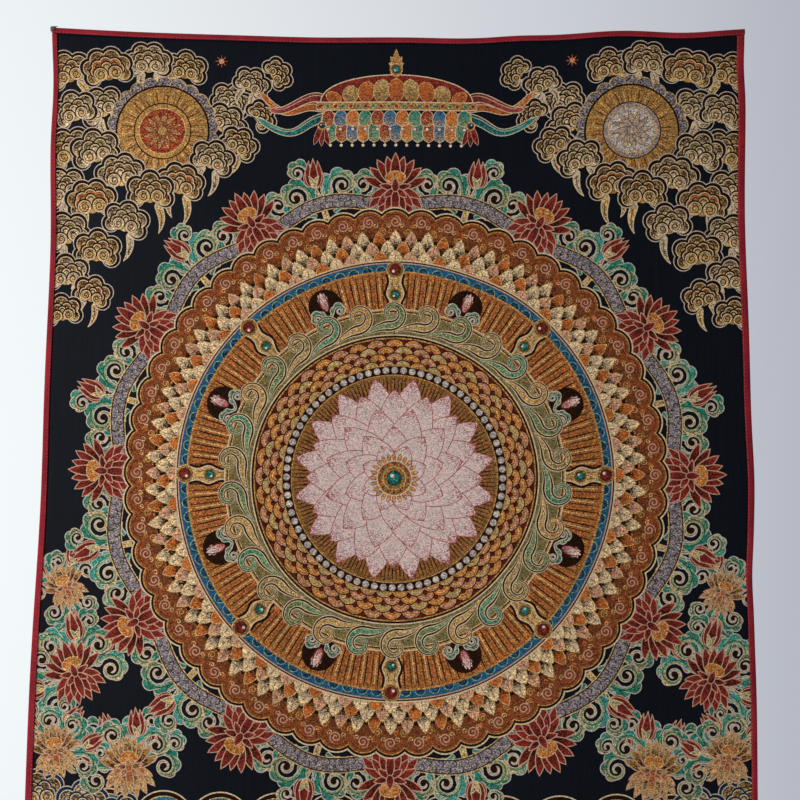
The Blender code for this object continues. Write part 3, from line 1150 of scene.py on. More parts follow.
@dataclass(frozen=True)
class Canopy:
    """The parasol of honour over the roundel: a jewel, a dome, two tiers of lappets, and streamers.

    The pen is at the middle of its brim.
    """

    pen: Pen
    half_width: float = 66.0
    dome_rise: float = 27.0
    streamers: tuple = (
        # start, direction, length, curl, fill
        (50 - 6j, -34, 74, 60, Fill(Yarn.DEEP_BLUE, Yarn.SEA, 0.1, 1.0)),
        (56 - 2j, -8, 66, 40, Fill(Yarn.RUST, Yarn.ORANGE)),
        (58 + 2j, 22, 56, -60, Fill(Yarn.WINE, Yarn.ROSE, 0.1, 1.0)),
    )

    def draw(self) -> None:
        """Draws the parasol from what lies lowest."""
        self.draw_streamers()
        self.draw_lappets()
        self.draw_tassels()
        self.draw_dome()
        self.draw_brim()
        self.draw_flame()

    def draw_streamers(self) -> None:
        """Draws the silk streamers that blow out on both sides."""
        count = 24
        u = np.linspace(0, 1, count + 1)
        for own in self.pen.sides():
            for start, turn, length, curl, fill in self.streamers:
                spine = sweep(length, curl, 1.0, count) + 5j * np.sin(2.2 * np.pi * u)
                half = 4.6 * np.minimum(1, 5 * u + 0.3) * (1 - 0.55 * u) * np.clip((1 - u) / 0.08, 0, 1)
                ribbon = own.at(start, turn)
                ribbon.blade(spine, half, fill)
                ribbon.line(spine[2:-3] + 0.45j * half[2:-3], Yarn.CREAM, 0.5)

    def draw_lappets(self) -> None:
        """Draws the two tiers of pointed lappets, each with a pearl at its tip."""
        colours = (Yarn.TEAL, Yarn.RED, Yarn.BLUE, Yarn.ORANGE)
        for tier, (drop, count, length) in enumerate(((-9, 13, 21), (-1, 12, 15))):
            step = 2 * (self.half_width - 5 + 3 * tier) / count
            for k in range(count):
                x = (k - (count - 1) / 2) * step
                own = self.pen.at(x + 1j * drop, -90)
                fill = Fill(colours[(k + tier) % 4], Yarn.STRAW, -0.2, 0.5)
                petal(own, length, step * 1.12, fill, 0.45, veins=2, vein=Yarn.SOOT)
                own.disc(1.5, Yarn.IVORY, Yarn.BROWN, 0.4, length + 2.2)

    def draw_tassels(self) -> None:
        """Draws the red tassel at either end of the brim."""
        for own in self.pen.sides():
            tassel = own.at(self.half_width - 2 - 3j, -90)
            for bend in (-20, 0, 20):
                petal(tassel.at(11, bend), 19, 5, Fill(Yarn.RED, Yarn.WINE), 0.7, edge=Yarn.PEACH, line=0.5)
            tassel.line(sweep(14), Yarn.STRAW, 1.2)
            jewel(tassel.at(12), 3.6, Yarn.BLUE, Yarn.DEEP_BLUE)

    def draw_dome(self) -> None:
        """Draws the dome in panels."""
        t = np.linspace(0, np.pi, 33)
        dome = self.half_width * np.cos(t) + 1j * (3 + self.dome_rise * np.sin(t) ** 0.8)
        self.pen.shape(dome, Fill(Yarn.WINE, Yarn.RED, 0.2, 1.0), 0j, 1j * self.dome_rise, line=1.0)
        fills = (Fill(Yarn.RUST, Yarn.ORANGE), Fill(Yarn.OLD_GOLD, Yarn.STRAW))
        panels = 9
        for k in range(panels):
            x = (k - (panels - 1) / 2) / panels * 2
            rise = self.dome_rise * math.sqrt(max(0.05, 1 - x * x * 0.9)) - 3
            own = self.pen.at(self.half_width * 0.97 * x + 5j, 90 + 32 * x)
            petal(own, rise * 0.92, self.half_width * 0.21, fills[k % 2], 0.55, edge=Yarn.STRAW, veins=2)

    def draw_brim(self) -> None:
        """Draws the gold brim and the stones along it."""
        count, up = 40, 2.2j
        spine = np.linspace(-self.half_width - 3, self.half_width + 3, count + 1) + up
        gold = Fill(Yarn.GOLD, Yarn.OLD_GOLD, 0.2, 0.6)
        self.pen.blade(spine, np.full(count + 1, 3.4), gold, line=1.0)
        for k, x in enumerate(np.linspace(-self.half_width, self.half_width, 21)):
            self.pen.disc(1.9, (Yarn.RED, Yarn.TEAL)[k % 2], Yarn.STRAW, 0.5, x + up)

    def draw_flame(self) -> None:
        """Draws the flaming jewel on top."""
        pen = self.pen.at(1j * (self.dome_rise + 1), 90)
        for bend in (64, -64, 36, -36, 0):
            length = 25 - abs(bend) * 0.16
            petal(pen, length, 8.5, Fill(Yarn.RED, Yarn.GOLD, 0.1, 1.2), 1.1, bend, Yarn.STRAW, veins=1)
        jewel(pen.at(7), 5.4, Yarn.SEA, Yarn.DEEP_BLUE)


@dataclass(frozen=True)
class Sky:
    """The clouds in the upper corners, with a sun on the left and a moon on the right."""

    pen: Pen
    disc_at: complex = 202 - 88j
    star_at: complex = 152 - 24j
    behind: tuple = (
        # across, up, size, crown's direction, shade, puffs
        (144, -60, 17, 112, COOL, 5),
        (104, -34, 13, 150, WARM, 5),
        (126, -44, 15, 118, PALE, 5),
        (184, -33, 18, 96, WARM, 5),
        (286, -40, 20, 70, WARM, 5),
        (216, -28, 20, 88, PALE, 6),
        (252, -36, 22, 78, FIERY, 6),
        (148, -80, 18, 130, PALE, 5),
        (256, -70, 19, 60, COOL, 5),
        (280, -74, 19, 70, PALE, 5),
    )
    before: tuple = (
        (118, -72, 13, 146, FIERY, 5),
        (136, -98, 16, 120, WARM, 5),
        (158, -112, 18, 108, COOL, 5),
        (284, -108, 21, 60, WARM, 5),
        (260, -108, 21, 76, COOL, 5),
        (186, -134, 20, 98, FIERY, 6),
        (238, -128, 21, 80, PALE, 6),
        (212, -142, 20, 90, WARM, 5),
        (288, -142, 20, 66, PALE, 5),
        (264, -152, 22, 82, FIERY, 6),
        (234, -168, 19, 104, COOL, 5),
        (286, -180, 20, 70, COOL, 5),
        (259, -194, 20, 94, WARM, 5),
        (285, -216, 19, 84, PALE, 5),
        (262, -231, 16, 106, FIERY, 5),
        (287, -248, 16, 80, WARM, 5),
    )

    def draw(self) -> None:
        """Draws both corners alike apart from the two discs."""
        moon = (stone(Yarn.IVORY, Yarn.MIST, 0.0, 0.7), Yarn.MIST)
        sun = (stone(Yarn.ORANGE, Yarn.RED, 0.1, 0.9), Yarn.GOLD)
        for name, looks, own in zip(("right", "left"), (moon, sun), self.pen.sides()):
            clouds = own.on("woven_clouds_" + name)
            self.draw_heads(clouds, self.behind)
            self.draw_disc(clouds.at(self.disc_at), *looks)
            self.draw_heads(clouds, self.before)
            self.draw_star(clouds.at(self.star_at))

    def draw_star(self, pen: Pen) -> None:
        """Draws a small star with eight rays.

        Args:
            pen: the pen, at its middle.
        """
        for one in pen.round(8, 2.6):
            one.line(straight(0, 2.8, 5), Yarn.ORANGE, 0.6, 0.4)
        pen.disc(2.4, stone(Yarn.RUST, Yarn.PEACH), Yarn.RUST, 0.6)

    def draw_heads(self, pen: Pen, heads: Sequence[tuple]) -> None:
        """Draws cloud heads from the hindmost to the foremost, from rows of a table above."""
        for k, (across, up, size, crown, shade, puffs) in enumerate(heads):
            CloudHead(pen.at(complex(across, up), crown), size, shade, puffs, k % 3).draw()

    def draw_disc(self, pen: Pen, fill: Fill, glow: Yarn) -> None:
        """Draws the sun or the moon on a halo of fine rays, with a ring of small grey clouds round it.

        Args:
            pen: the pen, at its middle.
            fill: how its face is woven.
            glow: the yarn that lights its rim.
        """
        for one in pen.round(22, 41):
            one.disc(7.4, stone(Yarn.MIST, Yarn.PLUM, 0.2, 0.6), Yarn.STRAW, 0.8)
            one.line(spiral(4.6, 1.3), Yarn.SOOT, 0.8)
        pen.disc(40, stone(Yarn.GOLD, Yarn.OLD_GOLD, -0.2, 0.4), Yarn.SOOT, 1.6)
        for k, one in enumerate(pen.round(60, 24)):
            one.line(straight(0, 12.5 - 4 * (k % 2), 4), (Yarn.RUST, Yarn.BROWN, Yarn.STRAW)[k % 3], 1.0)
        pen.disc(24.5, stone(Yarn.GOLD, glow, 0.3, 0.8), Yarn.SOOT, 1.0)
        pen.disc(20.0, fill, Yarn.STRAW, 1.1)
        for one in pen.round(12):
            petal(one, 17.5, 5.4, Fill(fill.second, Yarn.STRAW, 0.1, 0.7), 0.9, 24, Yarn.BROWN, 0.5)
        pen.disc(4.4, stone(Yarn.STRAW, glow), Yarn.BROWN, 0.5)


@dataclass(frozen=True)
class Garden:
    """The flowers and leaves that fill the lower corners, between the roundel and the water."""

    pen: Pen
    beds: tuple = (
        # across, up, radius, direction, the directions of its sprays, shade
        (274, -478, 19, 60, (96, 30, 250), FlowerShade.GOLD),
        (262, -548, 26, 66, (128, 38, 84, -20), FlowerShade.WINE),
        (214, -622, 25, 84, (132, 60, 96, 20), FlowerShade.GOLD),
        (276, -612, 22, 80, (40, 118, 160), FlowerShade.GOLD),
    )

    def draw(self) -> None:
        """Draws both corners alike: each flower hides the stems of the sprays that come out from under it."""
        for own in self.pen.sides():
            leaves, flowers = own.on("woven_leaves"), own.on("woven_flowers")
            for k, (across, up, radius, _, sprays, _) in enumerate(self.beds):
                for n, way in enumerate(sprays):
                    spray(leaves.at(complex(across, up), way, mirror=bool(n % 2)), radius * 2.0, k + n)
            for across, up, radius, turn, _, shade in self.beds:
                Flower(flowers.at(complex(across, up), turn), radius, shade).draw()


@dataclass(frozen=True)
class Waters:
    """The sea and the mountain below the roundel, which run down to the bottom edge."""

    pen: Pen
    top: float = -650.0
    bottom: float = -896.0
    row: float = 17.0
    column: float = 46.0
    columns: int = 13
    peaks: tuple = (
        # across, up, height, half its width
        (-74, -796, 96, 44),
        (74, -796, 96, 44),
        (0, -808, 140, 58),
    )
    crests: tuple = (
        # across, up, size, crown's direction, shade
        (288, -646, 20, 80, WARM),
        (252, -654, 21, 90, PALE),
        (216, -662, 20, 96, WARM),
        (182, -668, 20, 100, FIERY),
        (148, -672, 19, 96, PALE),
        (118, -678, 16, 100, WARM),
        (270, -680, 20, 84, FOAM),
        (234, -688, 18, 92, COOL),
        (128, -806, 17, 92, FOAM),
        (98, -810, 17, 84, PALE),
        (66, -814, 17, 96, FOAM),
        (34, -816, 17, 84, COOL),
    )

    def draw(self) -> None:
        """Draws the rows of waves, the mountain, and the foam along their top."""
        self.draw_waves()
        self.draw_mountain()
        self.draw_foam()

    def draw_waves(self) -> None:
        """Draws the overlapping wave scales, from the top row down."""
        pen = self.pen.on("woven_water")
        yarns = (Yarn.DEEP_BLUE, Yarn.BLUE, Yarn.DEEP_TEAL, Yarn.TEAL)
        for row in range(math.ceil((self.top - self.bottom) / self.row) + 1):
            y = self.top - 14 - self.row * row
            columns = self.columns + row % 2
            for column in range(columns):
                x = (column - (columns - 1) / 2) * self.column
                one = pen.at(complex(x, y), size=self.column / 38)
                yarn = yarns[(row + column // 2) % 4]
                one.disc(21, Yarn.SOOT, OUTLINE, 0.9)
                one.disc(17.5, stone(yarn, Yarn.SEA, 0.0, 0.4), Yarn.STRAW)
                one.disc(12.5, stone(yarn, Yarn.DEEP_BLUE, 0.2, 0.8), OUTLINE, 0.6)
                one.disc(7.5, stone(Yarn.STRAW, Yarn.GOLD, 0.1, 0.8), Yarn.BROWN, 0.5)

    def draw_mountain(self) -> None:
        """Draws three stepped peaks, each in bands that follow its outline."""
        pen = self.pen.on("woven_mountain")
        bands = (Yarn.TEAL, Yarn.STRAW, Yarn.BLUE, Yarn.ORANGE, Yarn.WINE, Yarn.GOLD)
        t = np.linspace(-1, 1, 25)
        for across, up, height, half in self.peaks:
            own = pen.at(complex(across, up))
            for k, yarn in enumerate(bands):
                size = 1 - 0.145 * k
                rise = height * size * (1 - np.abs(t) ** 1.25) * (1 + 0.06 * np.cos(9 * np.pi * t))
                peak = np.concatenate([half * size * t + 1j * rise, [half * size - 12j, -half * size - 12j]])
                own.shape(peak[::-1], Fill(yarn, Yarn.SOOT, 0.5, 0.0), 0j, 1j * height)

    def draw_foam(self) -> None:
        """Draws the crests of foam along the water's top and round the mountain's foot."""
        for own in self.pen.on("woven_foam").sides():
            for across, up, size, crown, shade in self.crests:
                CloudHead(own.at(complex(across, up), crown), size, shade, 5, 0, Yarn.DEEP_BLUE).draw()


ROUNDEL_AT = -380j
BRIM_AT = -64j


def draw_design() -> list:
    """Draws the whole design.

    Returns:
        Its patches, from the lowest to the topmost.
    """
    pen = Pen([], "woven_canopy")
    roundel, brim = pen.at(ROUNDEL_AT), pen.at(BRIM_AT)
    for part in (Waters(pen), Sky(pen), Garden(pen), Wreath(roundel), WheelRoundel(roundel), Canopy(brim)):
        part.draw()
    return pen.patches


# ------------------------------ weaving it all

STRAIGHT = 0.035  # mm: a border's point goes where it lies nearer than this to its neighbours' line
LONGEST = 7.0  # mm, a border's longest edge, so that the design follows the folds
FREE_STEP = 7.3  # mm, between the points inside the areas, which do the same
FREE_START = 3.7  # mm, of the first one from the edge
SHARE_ENDS = (-0.4, 1.4)  # no share goes further: under 0 or over 1 it leaves one yarn pure
NOBODY, UNKNOWN = -1, -2  # owners of a triangle outside every area, and of one that isn't settled yet


@dataclass(frozen=True)
class Weaving:
    """The design cut into triangles that don't overlap, each owned by the topmost patch there."""

    places: np.ndarray  # complex, mm, on the flat cloth
    triangles: np.ndarray
    owners: np.ndarray
    patches: list

    @classmethod
    def of(cls, patches: list, half_width: float, height: float, inset: float, bands: int = 10) -> "Weaving":
        """Cuts the patches out of each other and trims them at the cloth's edges.

        Args:
            patches: the areas, from the lowest to the topmost.
            half_width: half the cloth's width, in mm.
            height: its height, in mm.
            inset: how far inside its edges the design stops.
            bands: how many bands across the cloth it is cut in, one after the other, which saves memory.

        Returns:
            The cut design.
        """
        x = half_width - inset
        levels = np.linspace(-(height - inset), -inset, bands + 1)
        reaches = [(p.outline.imag.min(), p.outline.imag.max()) for p in patches]
        parts, count = [], 0
        for low, high in zip(levels[:-1], levels[1:]):
            here = [k for k, (lowest, highest) in enumerate(reaches) if lowest < high and highest > low]
            frame = np.array([-x + 1j * low, x + 1j * low, x + 1j * high, -x + 1j * high])
            places, triangles, own = cut_apart([frame] + [patches[k].outline for k in here])
            keep = own > NOBODY
            parts.append((places, triangles[keep] + count, np.array(here)[own[keep]]))
            count += len(places)
        return cls(*(np.concatenate(part) for part in zip(*parts)), patches)

    def told(self, tell: Callable[[Patch], object]) -> np.ndarray:
        """Gives what is told of each triangle's own patch, one row each."""
        return np.array([tell(patch) for patch in self.patches])[self.owners]

    def shares(self) -> np.ndarray:
        """Gives the second yarn's share at each corner of each triangle.

        Returns:
            One row of three for each triangle.
        """
        heart = self.told(lambda p: p.heart)[:, None]
        reach = self.told(lambda p: p.reach)[:, None] - heart
        low, high = self.told(lambda p: (p.fill.low, p.fill.high)).T[..., None]
        off = self.places[self.triangles] - heart
        size = np.maximum(np.abs(reach), 1e-6)
        along = np.real(off * np.conj(reach)) / size**2
        share = np.where(self.told(lambda p: p.fill.round_heart)[:, None], np.abs(off) / size, along)
        return (low + (high - low) * share.clip(0, 1)).clip(*SHARE_ENDS)

    def yarns(self) -> tuple:
        """Gives the linear colour of each triangle's first yarn, and that of its second."""
        both = self.told(lambda p: (linear(p.fill.first.value), linear(p.fill.second.value)))
        return both[:, 0], both[:, 1]


def triangulated(places: np.ndarray, edges: Sequence, faces: Sequence) -> tuple:
    """Triangulates outlines and edges that may cross.

    Args:
        places: the points, as complex numbers.
        edges: pairs of point numbers.
        faces: lists of point numbers round each outline.

    Returns:
        The new points, edges and triangles, and for each of these the ones it came from.
    """
    points = [Vector((p.real, p.imag)) for p in places]
    all_triangles, same_within, tell_sources = 0, 1e-4, True
    points, edges, triangles, *came_from = delaunay_2d_cdt(
        points, edges, faces, all_triangles, same_within, tell_sources
    )
    places = np.array([complex(p[0], p[1]) for p in points])
    return places, np.array(edges), np.array(triangles), *came_from


def cut_apart(outlines: list) -> tuple:
    """Cuts outlines that lie over each other into triangles inside the first one.

    Args:
        outlines: the frame, and then the areas from the lowest to the topmost.

    Returns:
        The places, the triangles, and for each the topmost area there, counted from 0, or NOBODY.
    """
    starts = np.cumsum([0] + [len(o) for o in outlines])
    faces = [list(range(a, b)) for a, b in zip(starts[:-1], starts[1:])]
    places, _, triangles, _, _, covers = triangulated(np.concatenate(outlines), [], faces)
    # Area numbers start at 1, and the frame is 0. Outside it nothing is kept.
    owners = np.array([max(ids) - 1 if ids and min(ids) == 0 else NOBODY for ids in covers])
    borders = Borders.between(places, triangles, owners)
    borders = borders.straightened(STRAIGHT).straightened(STRAIGHT).split(LONGEST)
    start, end = outlines[0][0], outlines[0][2]
    xs, ys = np.meshgrid(
        np.arange(start.real + FREE_START, end.real, FREE_STEP),
        np.arange(start.imag + FREE_START, end.imag, FREE_STEP),
    )
    return borders.filled((xs + 1j * ys).ravel())


@dataclass(frozen=True)
class Borders:
    """The lines between areas of different owners, each with the owner on its left and on its right."""

    places: np.ndarray
    edges: np.ndarray
    sides: np.ndarray

    @classmethod
    def between(cls, places: np.ndarray, triangles: np.ndarray, owners: np.ndarray) -> "Borders":
        """Finds the borders in a triangulation.

        Args:
            places: its points.
            triangles: its triangles, anticlockwise.
            owners: each triangle's owner.

        Returns:
            The borders.
        """
        edges, left, right = paired_sides(triangles, len(places))
        sides = np.stack([owners[left], np.where(right < 0, NOBODY, owners[right])], axis=1)
        differ = sides[:, 0] != sides[:, 1]
        return cls(places, edges[differ], sides[differ])

    def straightened(self, most: float) -> "Borders":
        """Leaves out points where a border runs on nearly straight.

        Args:
            most: how far such a point may lie off the line between its neighbours.

        Returns:
            The straighter borders.
        """
        count = len(self.places)
        into, out = np.full((2, count), -1)
        into[self.edges[:, 1]] = out[self.edges[:, 0]] = np.arange(len(self.edges))
        passing = (np.bincount(self.edges.ravel(), minlength=count) == 2) & (into >= 0) & (out >= 0)
        point = np.flatnonzero(passing)
        before, after = self.edges[into[point], 0], self.edges[out[point], 1]
        along = units(self.places[after] - self.places[before])
        off = np.abs(np.imag(np.conj(along) * (self.places[point] - self.places[before])))
        same = (self.sides[into[point]] == self.sides[out[point]]).all(axis=1)
        loose = np.zeros(count, bool)
        loose[point[(off < most) & same & (before != after)]] = True
        # Two neighbours never go at once: the one with the higher number does.
        point = point[loose[point]]
        before, after = self.edges[into[point], 0], self.edges[out[point], 1]
        goes = ~(loose[before] & (before > point)) & ~(loose[after] & (after > point))
        point, before, after = point[goes], before[goes], after[goes]
        keep = np.ones(len(self.edges), bool)
        keep[into[point]] = keep[out[point]] = False
        edges = np.concatenate([self.edges[keep], np.stack([before, after], axis=1)])
        return Borders(self.places, edges, np.concatenate([self.sides[keep], self.sides[into[point]]]))

    def split(self, most: float) -> "Borders":
        """Adds points along long edges.

        Args:
            most: how long an edge may be.

        Returns:
            The borders with no longer edge.
        """
        start, end = self.places[self.edges[:, 0]], self.places[self.edges[:, 1]]
        parts = np.maximum(1, np.ceil(np.abs(end - start) / most)).astype(int)
        owner = np.repeat(np.arange(len(parts)), parts)
        step = np.arange(len(owner)) - np.repeat(np.cumsum(parts) - parts, parts)
        inner = step > 0
        fresh = (start[owner] + (end - start)[owner] * step / parts[owner])[inner]
        number = np.full(len(owner), -1)
        number[inner] = len(self.places) + np.arange(inner.sum())
        first = np.where(inner, number, self.edges[owner, 0])
        last = np.where(step == parts[owner] - 1, self.edges[owner, 1], np.roll(number, -1))
        places = np.concatenate([self.places, fresh])
        return Borders(places, np.stack([first, last], axis=1), self.sides[owner])

    def filled(self, free: np.ndarray) -> tuple:
        """Fills the areas with triangles.

        Args:
            free: further points, to follow the folds of the cloth.

        Returns:
            The points, the triangles and their owners.
        """
        used, edges = np.unique(self.edges, return_inverse=True)
        edges = edges.reshape(-1, 2)
        given = np.concatenate([self.places[used], free])
        places, lines, triangles, _, from_edges, _ = triangulated(given, edges.tolist(), [])
        hit = np.flatnonzero([bool(ids) for ids in from_edges])
        source = np.array([from_edges[k][0] for k in hit])
        start, end = lines[hit].T
        way = given[edges[source, 1]] - given[edges[source, 0]]
        same_way = np.real(np.conj(way) * (places[end] - places[start])) > 0
        sides = np.where(same_way[:, None], self.sides[source], self.sides[source][:, ::-1])
        keys = np.concatenate([start * len(places) + end, end * len(places) + start])
        order = np.argsort(keys)
        keys, values = keys[order], np.concatenate([sides[:, 0], sides[:, 1]])[order]
        owners = np.full(len(triangles), UNKNOWN)
        for k in range(3):
            wanted = triangles[:, k] * len(places) + triangles[:, (k + 1) % 3]
            spot = np.searchsorted(keys, wanted).clip(0, len(keys) - 1)
            found = keys[spot] == wanted
            owners[found] = values[spot[found]]
        _, left, right = paired_sides(triangles, len(places))
        left, right = left[right >= 0], right[right >= 0]
        spreads = True
        while spreads:
            # An owner spreads only to neighbours without one, which no border parts from it.
            spreads = False
            known = owners > UNKNOWN
            for giver, taker in ((left, right), (right, left)):
                fresh = known[giver] & ~known[taker]
                owners[taker[fresh]] = owners[giver[fresh]]
                spreads |= bool(fresh.any())
        return places, triangles, owners


def paired_sides(triangles: np.ndarray, count: int) -> tuple:
    """Finds each edge of a triangulation.

    Args:
        triangles: its triangles, anticlockwise.
        count: how many points it has.

    Returns:
        The edges, the triangle on the left of each, and the one on its right or -1.
    """
    ends = np.concatenate([triangles[:, [0, 1]], triangles[:, [1, 2]], triangles[:, [2, 0]]]).astype(np.int64)
    face = np.tile(np.arange(len(triangles)), 3)
    keys = ends[:, 0] * count + ends[:, 1]
    back = ends[:, 1] * count + ends[:, 0]
    order = np.argsort(keys)
    spot = np.searchsorted(keys[order], back).clip(0, len(keys) - 1)
    found = keys[order][spot] == back
    other = np.where(found, face[order][spot], -1)
    once = ~found | (ends[:, 0] < ends[:, 1])
    return ends[once], face[once], other[once]


# ------------------------------ materials

BARE_WARP = "#171b22"  # on the back, where no loose weft covers it
Feed = float | tuple | bpy.types.Node | bpy.types.NodeSocket  # what a node's socket takes


def linear(hex_colour: str) -> tuple:
    """Turns an sRGB hex value into linear red, green, blue and alpha."""
    channels = [int(hex_colour[i : i + 2], 16) / 255 for i in (1, 3, 5)]
    return tuple(c / 12.92 if c <= 0.04045 else ((c + 0.055) / 1.055) ** 2.4 for c in channels) + (1.0,)


def add_node(
    tree: bpy.types.NodeTree, kind: str, inputs: Optional[dict[str | int, Feed]] = None, **settings: object
) -> bpy.types.Node:
    """Adds one shader node.

    Args:
        tree: the material's node tree.
        kind: the node's type name, without the ShaderNode that it starts with.
        inputs: by a socket's name or number, its value, the socket that feeds it, or the node whose first
            output does.
        settings: the node's own properties, by name.

    Returns:
        The node.
    """
    node = tree.nodes.new("ShaderNode" + kind)
    for name, value in settings.items():
        setattr(node, name, value)
    for name, value in (inputs or {}).items():
        value = value.outputs[0] if isinstance(value, bpy.types.Node) else value
        if isinstance(value, bpy.types.NodeSocket):
            tree.links.new(value, node.inputs[name])
        else:
            node.inputs[name].default_value = value
    return node


def mix_colours(tree: bpy.types.NodeTree, blend: str, share: Feed, first: Feed, second: Feed) -> Feed:
    """Mixes two colours.

    Args:
        tree: the material's node tree.
        blend: the mix's blend type.
        share: the share of the second colour.
        first: the first colour.
        second: the second colour.

    Returns:
        The mixed colour's socket.
    """
    # The Mix node's colour sockets are numbers 6 and 7, and its colour result is number 2.
    sockets = {0: share, 6: first, 7: second}
    return add_node(tree, "Mix", sockets, data_type="RGBA", blend_type=blend).outputs[2]


@dataclass(frozen=True)
class FloatCells:
    """A cloth's surface as cells, one for each float of weft between two binding points.

    Real picks are 0.35 mm apart and a float is 1 mm long, which is finer than a pixel of the photograph's
    frame, so the cells are drawn at the size below.
    """

    long_mm: float = 0.95
    tall_mm: float = 0.65

    def nodes(self, tree: bpy.types.NodeTree) -> tuple:
        """Adds the nodes that number the cells.

        Args:
            tree: the material's node tree.

        Returns:
            A random value for each cell, three more, and the pick count up the cloth.
        """
        axes = add_node(tree, "SeparateXYZ", {0: add_node(tree, "TexCoord").outputs["Object"]}).outputs
        pick = add_node(tree, "Math", {0: axes["Z"], 1: self.tall_mm * MM}, operation="DIVIDE")
        row = add_node(tree, "Math", {0: pick}, operation="FLOOR")
        shift = add_node(tree, "TexWhiteNoise", {"W": row}, noise_dimensions="1D")
        end = add_node(tree, "Math", {0: axes["X"], 1: self.long_mm * MM}, operation="DIVIDE")
        end = add_node(tree, "Math", {0: end, 1: shift}, operation="ADD")
        column = add_node(tree, "Math", {0: end}, operation="FLOOR")
        cell = add_node(tree, "CombineXYZ", {"X": column, "Y": row})
        noise = add_node(tree, "TexWhiteNoise", {"Vector": cell}, noise_dimensions="2D")
        return noise, add_node(tree, "SeparateColor", {0: noise.outputs["Color"]}).outputs, pick


@dataclass(frozen=True)
class Finish:
    """The finish of one cloth or thread: its measures are set on the shader, and shade() adds its pattern."""

    name: str
    roughness: float = 0.5
    lustre: float = 0.5  # specular level
    metallic: float = 0.0
    sheen: float = 0.0
    relief: float = 0.0  # how strongly its height bends the light
    relief_mm: float = 0.1

    def shade(self, tree: bpy.types.NodeTree) -> tuple:
        """Adds the pattern's nodes, as each finish does in its own way.

        Args:
            tree: the material's node tree.

        Returns:
            What feeds the shader's colour, and what feeds its relief.
        """
        raise NotImplementedError

    def build(self) -> bpy.types.Material:
        """Builds the material.

        Returns:
            The material.
        """
        material = bpy.data.materials.new(self.name)
        material.use_nodes = True
        tree = material.node_tree
        shader = tree.nodes["Principled BSDF"]
        colour, height = self.shade(tree)
        tree.links.new(colour, shader.inputs["Base Color"])
        if self.relief:
            bump = {"Strength": self.relief, "Distance": self.relief_mm * MM, "Height": height}
            tree.links.new(add_node(tree, "Bump", bump).outputs[0], shader.inputs["Normal"])
        shader.inputs["Roughness"].default_value = self.roughness
        shader.inputs["Specular IOR Level"].default_value = self.lustre
        shader.inputs["Metallic"].default_value = self.metallic
        shader.inputs["Sheen Weight"].default_value = self.sheen
        return material


@dataclass(frozen=True)
class WovenDesign(Finish):
    """Silk or film yarn floats of the design: two yarns in each area, mixed float by float.

    Binding points, where the dark warp crosses over, show as darker floats. Here and there a float is painted
    lighter
    and warmer: partly the gold film yarn's own colour, and partly a painted glint that stands in for the
    film's sparkle.
    """

    roughness: float = 0.6
    lustre: float = 0.04
    relief: float = 0.55
    relief_mm: float = 0.12
    blend: float = 0.4  # how soft the step from one yarn to the other is
    bound_share: float = 0.2
    bound_depth: float = 0.35
    # Painted glint: this share of the floats is painted lighter, partly the film's own colour and partly a
    # painted highlight.
    painted_glint_share: float = 0.2
    painted_glint: tuple = (2.0, 1.75, 1.3, 1.0)  # how much lighter such a float is, in red, green and blue
    cells: FloatCells = FloatCells()

    def shade(self, tree: bpy.types.NodeTree) -> tuple:
        """Adds the pattern's nodes: see Finish."""
        value, three, pick = self.cells.nodes(tree)
        share = add_node(tree, "Attribute", attribute_name="second_share").outputs["Fac"]
        ahead = add_node(tree, "Math", {0: share, 1: value}, operation="SUBTRACT")
        shown = add_node(tree, "MapRange", {"Value": ahead, "From Min": -self.blend, "From Max": self.blend})
        first = add_node(tree, "Attribute", attribute_name="first_yarn")
        second = add_node(tree, "Attribute", attribute_name="second_yarn")
        yarn = mix_colours(tree, "MIX", shown, first, second)
        # Painted glint: the chosen floats' colour is multiplied lighter, partly the film yarn's colour and
        # partly a painted highlight.
        painted_glint = add_node(tree, "Math", {0: three[2], 1: 1 - self.painted_glint_share}, operation="GREATER_THAN")
        yarn = mix_colours(tree, "MULTIPLY", painted_glint, yarn, self.painted_glint)
        bound = add_node(tree, "Math", {0: three[1], 1: self.bound_share}, operation="LESS_THAN")
        light = add_node(tree, "MapRange", {"Value": three[0], "To Min": 0.72, "To Max": 1.22})
        dim = add_node(tree, "MapRange", {"Value": bound, "To Min": 1.0, "To Max": self.bound_depth})
        level = add_node(tree, "Math", {0: light, 1: dim}, operation="MULTIPLY")
        turn = add_node(tree, "Math", {0: pick, 1: 2 * math.pi}, operation="MULTIPLY")
        ridge = add_node(tree, "Math", {0: turn}, operation="SINE")
        high = add_node(tree, "Math", {0: ridge, 1: 0.35, 2: level}, operation="MULTIPLY_ADD")
        return mix_colours(tree, "MULTIPLY", 1.0, yarn, level), high


@dataclass(frozen=True)
class SatinGround(Finish):
    """Navy warp-faced satin: long upright warp floats, which give a soft sheen and faint upright streaks."""

    name: str = "navy_satin_ground"
    roughness: float = 0.6
    lustre: float = 0.1
    relief: float = 0.35
    relief_mm: float = 0.05
    dark: str = "#03060b"
    light: str = "#0b111c"
    streak_mm: tuple = (1.5, 60.0)  # a streak of warp, across and along
    cells: FloatCells = FloatCells(0.8, 1.6)

    def shade(self, tree: bpy.types.NodeTree) -> tuple:
        """Adds the pattern's nodes: see Finish."""
        place = add_node(tree, "TexCoord").outputs["Object"]
        across, along = self.streak_mm
        stretched = add_node(tree, "Mapping", {"Vector": place, "Scale": (1 / across, 0.0, 1 / along)})
        streak = add_node(tree, "TexNoise", {"Vector": stretched, "Scale": 1000.0, "Detail": 2.0})
        _, three, _ = self.cells.nodes(tree)
        mixed = add_node(tree, "Math", {0: three[0], 1: 0.35, 2: streak}, operation="MULTIPLY_ADD")
        share = add_node(tree, "MapRange", {"Value": mixed, "From Min": 0.35, "From Max": 1.05})
        return mix_colours(tree, "MIX", share, linear(self.dark), linear(self.light)), mixed


